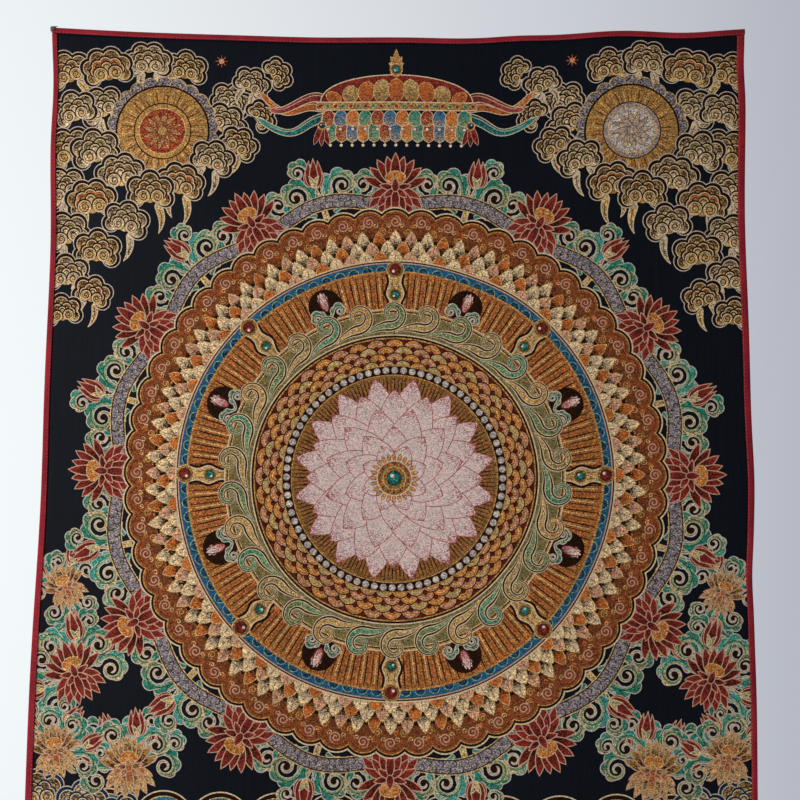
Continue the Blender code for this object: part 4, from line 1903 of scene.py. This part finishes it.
@dataclass(frozen=True)
class WovenReverse(Finish):
    """The brocade's back: the design's yarns float loose behind the ground, so it shows muted streaks."""

    name: str = "brocade_reverse"
    roughness: float = 0.72
    lustre: float = 0.3
    relief: float = 0.6
    relief_mm: float = 0.15
    bare_share: float = 0.34  # of the floats, which lie under the warp
    cells: FloatCells = FloatCells(7.0, 0.9)

    def shade(self, tree: bpy.types.NodeTree) -> tuple:
        """Adds the pattern's nodes: see Finish."""
        value, three, _ = self.cells.nodes(tree)
        ghost = add_node(tree, "Attribute", attribute_name="reverse_yarn")
        covered = add_node(tree, "Math", {0: value, 1: self.bare_share}, operation="GREATER_THAN")
        yarn = mix_colours(tree, "MIX", covered, linear(BARE_WARP), ghost)
        level = add_node(tree, "MapRange", {"Value": three[1], "To Min": 0.62, "To Max": 1.15})
        return mix_colours(tree, "MULTIPLY", 1.0, yarn, level), level


@dataclass(frozen=True)
class CottonBinding(Finish):
    """Plain-weave cotton tape, dyed red: matt, with a fine even grain and a few thicker threads."""

    name: str = "red_cotton_tape"
    roughness: float = 0.8
    lustre: float = 0.15
    sheen: float = 0.05
    relief: float = 0.5
    dark: str = "#6c101a"
    light: str = "#aa2430"
    grain_mm: float = 0.8  # real threads are 0.25 mm apart, and it is drawn coarser so that it shows
    worn_mm: float = 28.0

    def shade(self, tree: bpy.types.NodeTree) -> tuple:
        """Adds the pattern's nodes: see Finish."""
        place = add_node(tree, "TexCoord").outputs["Object"]
        grain, worn = (
            add_node(tree, "TexNoise", {"Vector": place, "Scale": 1 / (size * MM), "Detail": detail})
            for size, detail in ((self.grain_mm, 2.0), (self.worn_mm, 3.0))
        )
        both = add_node(tree, "Math", {0: worn, 1: 0.7, 2: grain}, operation="MULTIPLY_ADD")
        share = add_node(tree, "MapRange", {"Value": both, "From Min": 0.6, "From Max": 1.1})
        return mix_colours(tree, "MIX", share, linear(self.dark), linear(self.light)), grain


@dataclass(frozen=True)
class SewingThread(Finish):
    """Twisted sewing thread: a smooth yarn with a soft shine."""

    name: str = "rose_sewing_thread"
    colour: str = "#b0565c"
    twist_mm: float = 0.5

    def shade(self, tree: bpy.types.NodeTree) -> tuple:
        """Adds the pattern's nodes: see Finish."""
        place = add_node(tree, "TexCoord").outputs["Object"]
        scale = 1 / (self.twist_mm * MM)
        twist = add_node(tree, "TexNoise", {"Vector": place, "Scale": scale, "Detail": 1.0})
        level = add_node(tree, "MapRange", {"Value": twist, "To Min": 0.7, "To Max": 1.2})
        return mix_colours(tree, "MULTIPLY", 1.0, linear(self.colour), level), level


# ------------------------------ building pieces


def mesh_piece(
    name: str, places: np.ndarray, faces: np.ndarray,
    materials: Sequence[bpy.types.Material], slots: Optional[np.ndarray] = None,
) -> bpy.types.Object:
    """Makes an object of a mesh.

    Args:
        name: the piece's name.
        places: its vertices, in metres, one row each.
        faces: the vertices of each face, one row each.
        materials: the materials it wears.
        slots: which of them each face wears.

    Returns:
        The object, linked to the scene.
    """
    mesh = bpy.data.meshes.new(name)
    count, corners = faces.shape
    mesh.vertices.add(len(places))
    mesh.vertices.foreach_set("co", places.astype(np.float32).ravel())
    mesh.loops.add(count * corners)
    mesh.loops.foreach_set("vertex_index", faces.astype(np.int32).ravel())
    mesh.polygons.add(count)
    mesh.polygons.foreach_set("loop_start", np.arange(count, dtype=np.int32) * corners)
    mesh.update(calc_edges=True)
    mesh.validate()
    mesh.shade_smooth()
    for material in materials:
        mesh.materials.append(material)
    if slots is not None:
        mesh.polygons.foreach_set("material_index", slots.astype(np.int32))
    piece = bpy.data.objects.new(name, mesh)
    bpy.context.scene.collection.objects.link(piece)
    return piece


def set_attribute(piece: bpy.types.Object, name: str, kind: str, domain: str, values: np.ndarray) -> None:
    """Gives a piece's mesh a named attribute."""
    attribute = piece.data.attributes.new(name, kind, domain)
    attribute.data.foreach_set("value" if kind == "FLOAT" else "color", values.astype(np.float32).ravel())


def ride_along(pieces: Sequence[bpy.types.Object]) -> list:
    """Makes pieces ride on the hanging.

    Args:
        pieces: the pieces.

    Returns:
        The pieces, as a list.
    """
    for piece in pieces:
        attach(piece, "root")
    return list(pieces)


def grid_faces(columns: int, rows: int) -> np.ndarray:
    """Gives the quads of a grid whose vertices go along each row in turn."""
    a = (np.arange(rows - 1)[:, None] * columns + np.arange(columns - 1)[None]).ravel()
    return np.stack([a, a + 1, a + columns + 1, a + columns], axis=1)


def closed_sheet(
    name: str, front: np.ndarray, back: np.ndarray, columns: int, finish: Finish
) -> bpy.types.Object:
    """Makes a closed sheet of two grids of vertices.

    Args:
        name: the piece's name.
        front: the front's vertices, along each row in turn.
        back: the back's.
        columns: how many make a row.
        finish: its finish.

    Returns:
        The object.
    """
    count = len(front)
    rows = count // columns
    top, down = np.arange(columns), np.arange(1, rows) * columns
    rim = np.concatenate([top, down + columns - 1, down[-1] + top[-2::-1], down[-2::-1]])
    after = np.roll(rim, -1)
    sides = np.stack([after, after + count, rim + count, rim], axis=1)
    quads = grid_faces(columns, rows)
    faces = np.concatenate([quads[:, ::-1], quads + count, sides])
    return mesh_piece(name, np.concatenate([front, back]), faces, [finish.build()])


def tube_faces(rings: int, around: int) -> np.ndarray:
    """Gives the quads of a tube whose vertices go round each ring in turn, open at its ends.

    Args:
        rings: how many rings it has.
        around: how many vertices a ring has.

    Returns:
        The quads, one row each.
    """
    ring = np.arange(rings - 1)[:, None] * around
    here, after = np.arange(around)[None], (np.arange(around)[None] + 1) % around
    quads = np.stack([ring + here, ring + after, ring + around + after, ring + around + here], axis=-1)
    return quads.reshape(-1, 4)


@dataclass(frozen=True)
class WovenPanel:
    """The brocade panel: the satin ground, the design woven into its front, and the yarns on its back."""

    cloth: HangingCloth
    thickness: float = 0.0010
    inset: float = 0.0019
    columns: int = 101
    rows: int = 151
    design_lift: float = 0.00009  # the design's floats lie this far over the ground
    design_inset_mm: float = 3.0
    reverse_cell_mm: float = 4.5
    muted: float = 0.55  # how much of their colour the yarns on the back keep
    veiled: tuple = (0.62, 0.3)  # how much of them and of the bare warp makes the back's mean colour

    def build(self) -> list:
        """Builds the panel.

        Returns:
            Its pieces: the ground first, then the reverse and the design's parts.
        """
        width, height = self.cloth.width / MM, self.cloth.height / MM
        patches = draw_design()
        weaving = Weaving.of(patches, width / 2, height, self.design_inset_mm)
        LOG.info("design: %d areas, %d triangles", len(patches), len(weaving.triangles))
        ground = self.build_ground()
        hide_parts("woven_panel")
        pieces = [ground, self.build_reverse(weaving)] + self.build_design(weaving)
        return ride_along(pieces)

    def build_ground(self) -> bpy.types.Object:
        """Builds the satin ground as one closed sheet.

        Returns:
            The ground.
        """
        half, height = self.cloth.width / 2 - self.inset, self.cloth.height
        across, down = np.meshgrid(
            np.linspace(-half, half, self.columns), np.linspace(self.inset, height - self.inset, self.rows)
        )
        front, back = (self.cloth.place(across, down, way * self.thickness / 2) for way in (1, -1))
        return closed_sheet("woven_ground", front, back, self.columns, SatinGround())

    def build_reverse(self, weaving: Weaving) -> bpy.types.Object:
        """Builds the back's loose floats as one layer, in the mean colour of the design in front of them.

        Args:
            weaving: the cut design.

        Returns:
            The layer.
        """
        cell, inset = self.reverse_cell_mm, self.design_inset_mm
        half, height = self.cloth.width / 2 / MM - inset, self.cloth.height / MM
        columns, rows = round(2 * half / cell) + 1, round((height - 2 * inset) / cell) + 1
        shares = weaving.shares().clip(0, 1).mean(axis=1)[:, None]
        first, second = weaving.yarns()
        colours = first * (1 - shares) + second * shares
        corners = weaving.places[weaving.triangles]
        middle = corners.mean(axis=1)
        edge_a, edge_b = corners[:, 1] - corners[:, 0], corners[:, 2] - corners[:, 0]
        areas = np.abs(np.imag(np.conj(edge_a) * edge_b)) / 2
        column = ((middle.real + half) / cell).round().astype(int).clip(0, columns - 1)
        row = ((-middle.imag - inset) / cell).round().astype(int).clip(0, rows - 1)
        spot = row * columns + column
        total = [np.bincount(spot, areas * colours[:, k], columns * rows) for k in range(3)]
        covered = np.bincount(spot, areas, columns * rows)[:, None] / cell**2
        navy = np.array(linear(BARE_WARP))[:3]
        mean = np.stack(total, axis=1) / cell**2 + navy * (1 - covered).clip(0, 1)
        grey = mean.mean(axis=1, keepdims=True)
        mean = (grey * (1 - self.muted) + mean * self.muted) * self.veiled[0] + navy * self.veiled[1]
        across, down = np.meshgrid(
            np.linspace(-half, half, columns) * MM, np.linspace(inset, height - inset, rows) * MM
        )
        places = self.cloth.place(across, down, -self.thickness / 2 - self.design_lift)
        piece = mesh_piece("woven_reverse", places, grid_faces(columns, rows), [WovenReverse().build()])
        rgba = np.concatenate([mean, np.ones((len(mean), 1))], axis=1)
        set_attribute(piece, "reverse_yarn", "FLOAT_COLOR", "POINT", rgba)
        return piece

    def build_design(self, weaving: Weaving) -> list:
        """Builds a piece for each part of the design.

        Args:
            weaving: the cut design.

        Returns:
            The pieces.
        """
        silk = WovenDesign("silk_weft")
        film = WovenDesign("gold_film_weft", roughness=0.45, lustre=0.12, metallic=0.2)
        fine = WovenDesign("fine_silk_weft", bound_share=0.25, bound_depth=0.78, painted_glint_share=0.0)
        materials = [finish.build() for finish in (silk, film, fine)]
        shares, (first, second) = weaving.shares(), weaving.yarns()
        weaves = weaving.told(lambda p: p.fill.weave.value)
        names = weaving.told(lambda p: p.piece)
        pieces = []
        for name in dict.fromkeys(patch.piece for patch in weaving.patches):
            mine = names == name
            used, faces = np.unique(weaving.triangles[mine], return_inverse=True)
            flat = weaving.places[used] * MM
            places = self.cloth.place(flat.real, -flat.imag, self.thickness / 2 + self.design_lift)
            piece = mesh_piece(name, places, faces.reshape(-1, 3), materials, weaves[mine])
            set_attribute(piece, "second_share", "FLOAT", "CORNER", shares[mine])
            for attribute, colours in (("first_yarn", first), ("second_yarn", second)):
                set_attribute(piece, attribute, "FLOAT_COLOR", "CORNER", np.repeat(colours[mine], 3, axis=0))
            pieces.append(piece)
        return pieces


@dataclass(frozen=True)
class Binding:
    """One red strip folded over an edge and stitched through near its inner rim."""

    cloth: HangingCloth
    edge: Edge
    widths: tuple  # over the front, at its left or upper end and at its other end
    start: float
    end: float
    inner_radius: float = 0.0008
    thickness: float = 0.0008
    stitch_length: float = 0.0030
    stitch_inset: float = 0.0007  # from the inner rim
    stitch_half: float = 0.4  # half of what a stitch covers, as a share of the way to the next one
    thread_radius: float = 0.00021
    thread_sunk: float = 0.00002  # how deep the thread's middle line lies in the tape
    thread_dip: float = 0.0003  # how much further its ends go in
    # The lap over the front: its rim is turned under, so it stands up as a soft roll, and the stitches
    # pull a line in beside it.
    lap: tuple = (
        # share of the lap from its inner rim, how far it stands proud, how far the stitches pull it in
        (0.00, -0.00022, 0.0),
        (0.11, 0.00010, 0.00018),
        (0.30, 0.00010, 0.00008),
        (0.62, 0.00006, 0.0),
        (1.00, 0.0, 0.0),
    )
    facets: int = 6  # round the fold

    @property
    def stitches(self) -> int:
        """Tells how many stitches run along the strip."""
        return round((self.end - self.start) / self.stitch_length)

    def flat(self, along: np.ndarray, inset: np.ndarray) -> tuple:
        """Gives the flat cloth's across and down of places on the strip.

        Args:
            along: how far along its edge each place lies, as across or down.
            inset: how far in from the outer edge it lies.

        Returns:
            Two arrays, across and down.
        """
        half, height = self.cloth.width / 2, self.cloth.height
        return {
            Edge.TOP: (along, inset),
            Edge.BOTTOM: (along, height - inset),
            Edge.LEFT: (inset - half, along),
            Edge.RIGHT: (half - inset, along),
        }[self.edge]

    def width_at(self, along: np.ndarray) -> np.ndarray:
        """Gives the strip's width over the front at places along it."""
        share = (along - self.start) / (self.end - self.start)
        return self.widths[0] + (self.widths[1] - self.widths[0]) * share

    def place(self, along: np.ndarray, inset: np.ndarray, proud: np.ndarray) -> np.ndarray:
        """Gives places on the hanging strip, one row each."""
        return self.cloth.place(*self.flat(np.broadcast_to(along, inset.shape), inset), proud)

    def faces_out(self, faces: np.ndarray) -> np.ndarray:
        """Turns the faces round where the edge's own direction would leave them inside out."""
        return faces[:, ::-1] if self.edge in (Edge.BOTTOM, Edge.LEFT) else faces

    def build(self, tape: bpy.types.Material) -> bpy.types.Object:
        """Builds the strip as one closed form, with two steps to a stitch.

        Args:
            tape: its material.

        Returns:
            The strip.
        """
        along = np.linspace(self.start, self.end, 2 * self.stitches + 1)[:, None]
        both = zip(self.profile(along, 1), self.profile(along, -1))
        inset, proud = (np.concatenate([outside, inside[:, ::-1]], axis=1) for outside, inside in both)
        rings, around = inset.shape
        # Each end is closed by quads across the thickness, from the front rim round to the back one.
        k = np.arange(around // 2 - 1)
        cap = np.stack([k, around - 1 - k, around - 2 - k, k + 1], axis=1)
        faces = np.concatenate([tube_faces(rings, around), cap, (cap + (rings - 1) * around)[:, ::-1]])
        places = self.place(along, inset, proud)
        return mesh_piece("tape_" + self.edge.value, places, self.faces_out(faces), [tape])

    def profile(self, along: np.ndarray, side: int) -> tuple:
        """Gives one face of the folded strip, from its front rim round the fold to its back rim.

        Args:
            along: places along the strip, one row each.
            side: 1 for the outer face and -1 for the inner one.

        Returns:
            The inset and the proud height of each place, one row for each place along.
        """
        middle = self.inner_radius + self.thickness / 2
        depth = middle + self.thickness / 2
        radius = middle + side * self.thickness / 2
        share, rise, pulled = (np.array(column)[None] for column in zip(*self.lap))
        pull = 0.5 - 0.5 * np.cos(2 * np.pi * self.stitches * (along - self.start) / (self.end - self.start))
        lap_inset = self.width_at(along) - share * (self.width_at(along) - depth)
        lap_rise = (rise - pulled * pull) * (side > 0)
        turns = np.linspace(0, np.pi, self.facets + 1)[1:-1][None]
        fold_inset = depth - radius * np.sin(turns) + 0 * along
        fold_proud = radius * np.cos(turns) + 0 * along
        inset = np.concatenate([lap_inset, fold_inset, lap_inset[:, ::-1]], axis=1)
        proud = np.concatenate([radius + lap_rise, fold_proud, -radius - lap_rise[:, ::-1]], axis=1)
        return inset, proud

    def build_stitches(self, thread: bpy.types.Material) -> bpy.types.Object:
        """Builds the stitches on both faces, each a short thread that dips into the tape at its ends.

        Args:
            thread: its material.

        Returns:
            The stitches, as one piece.
        """
        rings, around = 5, 4
        length = (self.end - self.start) / self.stitches
        centres = self.start + (np.arange(self.stitches) + 0.5) * length
        u = np.linspace(-1, 1, rings)[None, :, None]
        turns = np.arange(around)[None, None] * np.pi / 2
        thick = self.thread_radius * np.sqrt(np.maximum(0.1, 1 - u**4))
        along = centres[:, None, None] + self.stitch_half * length * u + 0 * turns
        inset = self.width_at(along) - self.stitch_inset + thick * np.cos(turns)
        top = self.inner_radius + self.thickness - self.thread_sunk - self.thread_dip * u**4
        proud = top + thick * np.sin(turns)
        places = np.concatenate([self.place(along, inset, way * proud) for way in (1, -1)])
        count = rings * around
        cap = np.arange(around)[None]
        one = np.concatenate([tube_faces(rings, around), cap[:, ::-1], cap + count - around])
        starts = (np.arange(self.stitches) * count)[:, None, None]
        front, back = ((faces[None] + starts).reshape(-1, 4) for faces in (one, one[:, ::-1]))
        faces = self.faces_out(np.concatenate([front, back + self.stitches * count]))
        return mesh_piece("stitches_" + self.edge.value, places, faces, [thread])


@dataclass(frozen=True)
class CornerTip:
    """The brocade's own frayed corner, which sticks out of the strips at the upper left, over them."""

    cloth: HangingCloth
    out: float = 0.0010  # how far it sticks out past the strips
    across: float = 0.0058
    down: float = 0.0046
    thickness: float = 0.0005
    proud: float = 0.0018  # its back, over the middle of the cloth
    columns: int = 13
    rows: int = 11

    def build(self) -> bpy.types.Object:
        """Builds the tip as one small closed sheet with an uneven edge.

        Returns:
            The tip.
        """
        u, v = np.meshgrid(np.linspace(0, 1, self.columns), np.linspace(0, 1, self.rows))
        ragged = 0.10 * np.sin(9 * v + 1) * u + 0.08 * np.sin(23 * v) * u
        x = -self.cloth.width / 2 - self.out + self.across * (u * (1 - 0.35 * v) + ragged)
        y = -self.out + self.down * (v * (1 - 0.25 * u) + 0.12 * np.sin(13 * u) * v)
        lift = 0.0004 * np.sin(3 * u + 2) * np.sin(4 * v) - 0.0012 * (1 - u) ** 4 - 0.0012 * (1 - v) ** 4
        front = self.cloth.place(x, y, self.proud + self.thickness + lift)
        back = self.cloth.place(x, y, self.proud + lift)
        frayed = SatinGround("frayed_brocade", dark="#1a1b1e", light="#77716c")
        return closed_sheet("brocade_corner", front, back, self.columns, frayed)


@dataclass(frozen=True)
class Bindings:
    """The four strips, their stitching, and the cloth's corner that sticks out of them."""

    cloth: HangingCloth
    cut_short: float = 0.0057  # how far from the cloth's top and bottom the side strips end

    def build(self) -> list:
        """Builds the strips in the places of their solids, with their stitches.

        Returns:
            All the pieces.
        """
        half, height = self.cloth.width / 2, self.cloth.height
        upper, lower = self.cut_short, height - self.cut_short
        tape, thread = CottonBinding().build(), SewingThread().build()
        pieces = []
        for edge, widths, start, end in (
            (Edge.TOP, (0.0050, 0.0054), -half, half),
            (Edge.BOTTOM, (0.0054, 0.0054), -half, half),
            (Edge.LEFT, (0.0048, 0.0062), upper, lower),
            (Edge.RIGHT, (0.0066, 0.0044), upper, lower),
        ):
            strip = Binding(self.cloth, edge, widths, start, end)
            piece, stitches = strip.build(tape), strip.build_stitches(thread)
            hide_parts("binding_" + edge.value)
            pieces += ride_along([piece, stitches])
        return pieces + ride_along([CornerTip(self.cloth).build()])


# ------------------------------ studio


@dataclass(frozen=True)
class Studio:
    """The plain floor, the light and the camera."""

    floor_z: float = -1.15
    floor_radius: float = 1.5
    floor_sides: int = 96
    floor_paint: str = "#d9dbde"
    room_left: str = "#f8fdff"
    room_right: str = "#b6b9c4"
    room_turn: float = 0.32  # how far to either side the room goes from one colour to the other
    ambient: float = 0.3
    aim: tuple = (0, 0, -0.40)
    lamps: tuple = (
        # name, place, size, watts
        ("window_light", (-1.3, -1.0, -0.1), 0.9, 20.0),
        ("fill_light", (1.2, -2.2, -0.2), 1.8, 4.0),
        ("back_light", (-2.4, 1.5, 0.6), 1.0, 40.0),
    )
    camera_place: tuple = (0.0217, -1.0313, -0.4053)
    pitch_deg: float = 5.042
    yaw_deg: float = 0.893
    roll_deg: float = 0.46
    angle_deg: float = 36.0

    def build(self) -> None:
        """Builds the studio."""
        self.build_floor()
        self.build_room()
        self.build_lamps()
        self.build_camera()

    def build_floor(self) -> None:
        """Lays a pale round floor below the hanging."""
        count = self.floor_sides
        turns = np.linspace(0, 2 * np.pi, count, endpoint=False)
        ring = np.stack([np.cos(turns), np.sin(turns), 0 * turns], axis=1) * self.floor_radius
        places = np.concatenate([ring, np.zeros((1, 3))]) + [0, 0, self.floor_z]
        k = np.arange(count)
        faces = np.stack([np.full(count, count), k, (k + 1) % count], axis=1)
        material = bpy.data.materials.new("painted_floor")
        material.use_nodes = True
        shader = material.node_tree.nodes["Principled BSDF"]
        shader.inputs["Base Color"].default_value = linear(self.floor_paint)
        shader.inputs["Roughness"].default_value = 0.9
        mesh_piece("floor", places, faces, [material])

    def build_room(self) -> None:
        """Sets a pale room that is brighter on the left."""
        world = bpy.data.worlds.new("pale_room")
        bpy.context.scene.world = world
        world.use_nodes = True
        tree = world.node_tree
        axes = add_node(tree, "SeparateXYZ", {0: add_node(tree, "TexCoord").outputs["Generated"]}).outputs
        turn = {"Value": axes["X"], "From Min": -self.room_turn, "From Max": self.room_turn}
        across = add_node(tree, "MapRange", turn)
        room = mix_colours(tree, "MIX", across, linear(self.room_left), linear(self.room_right))
        # The room behind the hanging is what the camera sees, and the room in front lights it only weakly.
        behind = add_node(tree, "MapRange", {"Value": axes["Y"], "To Min": self.ambient, "To Max": 1.0})
        back = tree.nodes["Background"]
        tree.links.new(room, back.inputs["Color"])
        tree.links.new(behind.outputs[0], back.inputs["Strength"])

    def build_lamps(self) -> None:
        """Sets a soft window light on the left, a weak fill and a back light."""
        for name, place, size, watts in self.lamps:
            light = bpy.data.lights.new(name, "AREA")
            light.size, light.energy = size, watts
            lamp = bpy.data.objects.new(name, light)
            lamp.location = place
            lamp.rotation_euler = (Vector(self.aim) - Vector(place)).to_track_quat("-Z", "Y").to_euler()
            bpy.context.scene.collection.objects.link(lamp)

    def build_camera(self) -> None:
        """Sets the camera at the photograph's viewing angle."""
        yaw, pitch, roll = (math.radians(a) for a in (self.yaw_deg, self.pitch_deg, self.roll_deg))
        level = Vector((-math.sin(yaw), math.cos(yaw), 0))
        right = Vector((math.cos(yaw), math.sin(yaw), 0))
        upright = Vector((0, 0, 1))
        forward = math.cos(pitch) * level + math.sin(pitch) * upright
        above = math.cos(pitch) * upright - math.sin(pitch) * level
        side = math.cos(roll) * right + math.sin(roll) * above
        head = math.cos(roll) * above - math.sin(roll) * right
        data = bpy.data.cameras.new("camera")
        data.angle = math.radians(self.angle_deg)
        camera = bpy.data.objects.new("camera", data)
        turn = Matrix((side, head, -forward)).transposed()
        camera.matrix_world = Matrix.Translation(self.camera_place) @ turn.to_4x4()
        bpy.context.scene.collection.objects.link(camera)
        bpy.context.scene.camera = camera


def main() -> None:
    """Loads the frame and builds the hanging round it."""
    logging.basicConfig(level=logging.INFO, format="%(name)s: %(message)s")
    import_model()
    bpy.context.scene.view_settings.view_transform = "Standard"
    cloth = HangingCloth()
    Studio().build()
    ground, *rest = WovenPanel(cloth).build() + Bindings(cloth).build()
    for piece in (ground, *rest):
        LOG.info("%s: %d faces", piece.name, len(piece.data.polygons))
    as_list(rest)


if __name__ == "__main__":
    main()
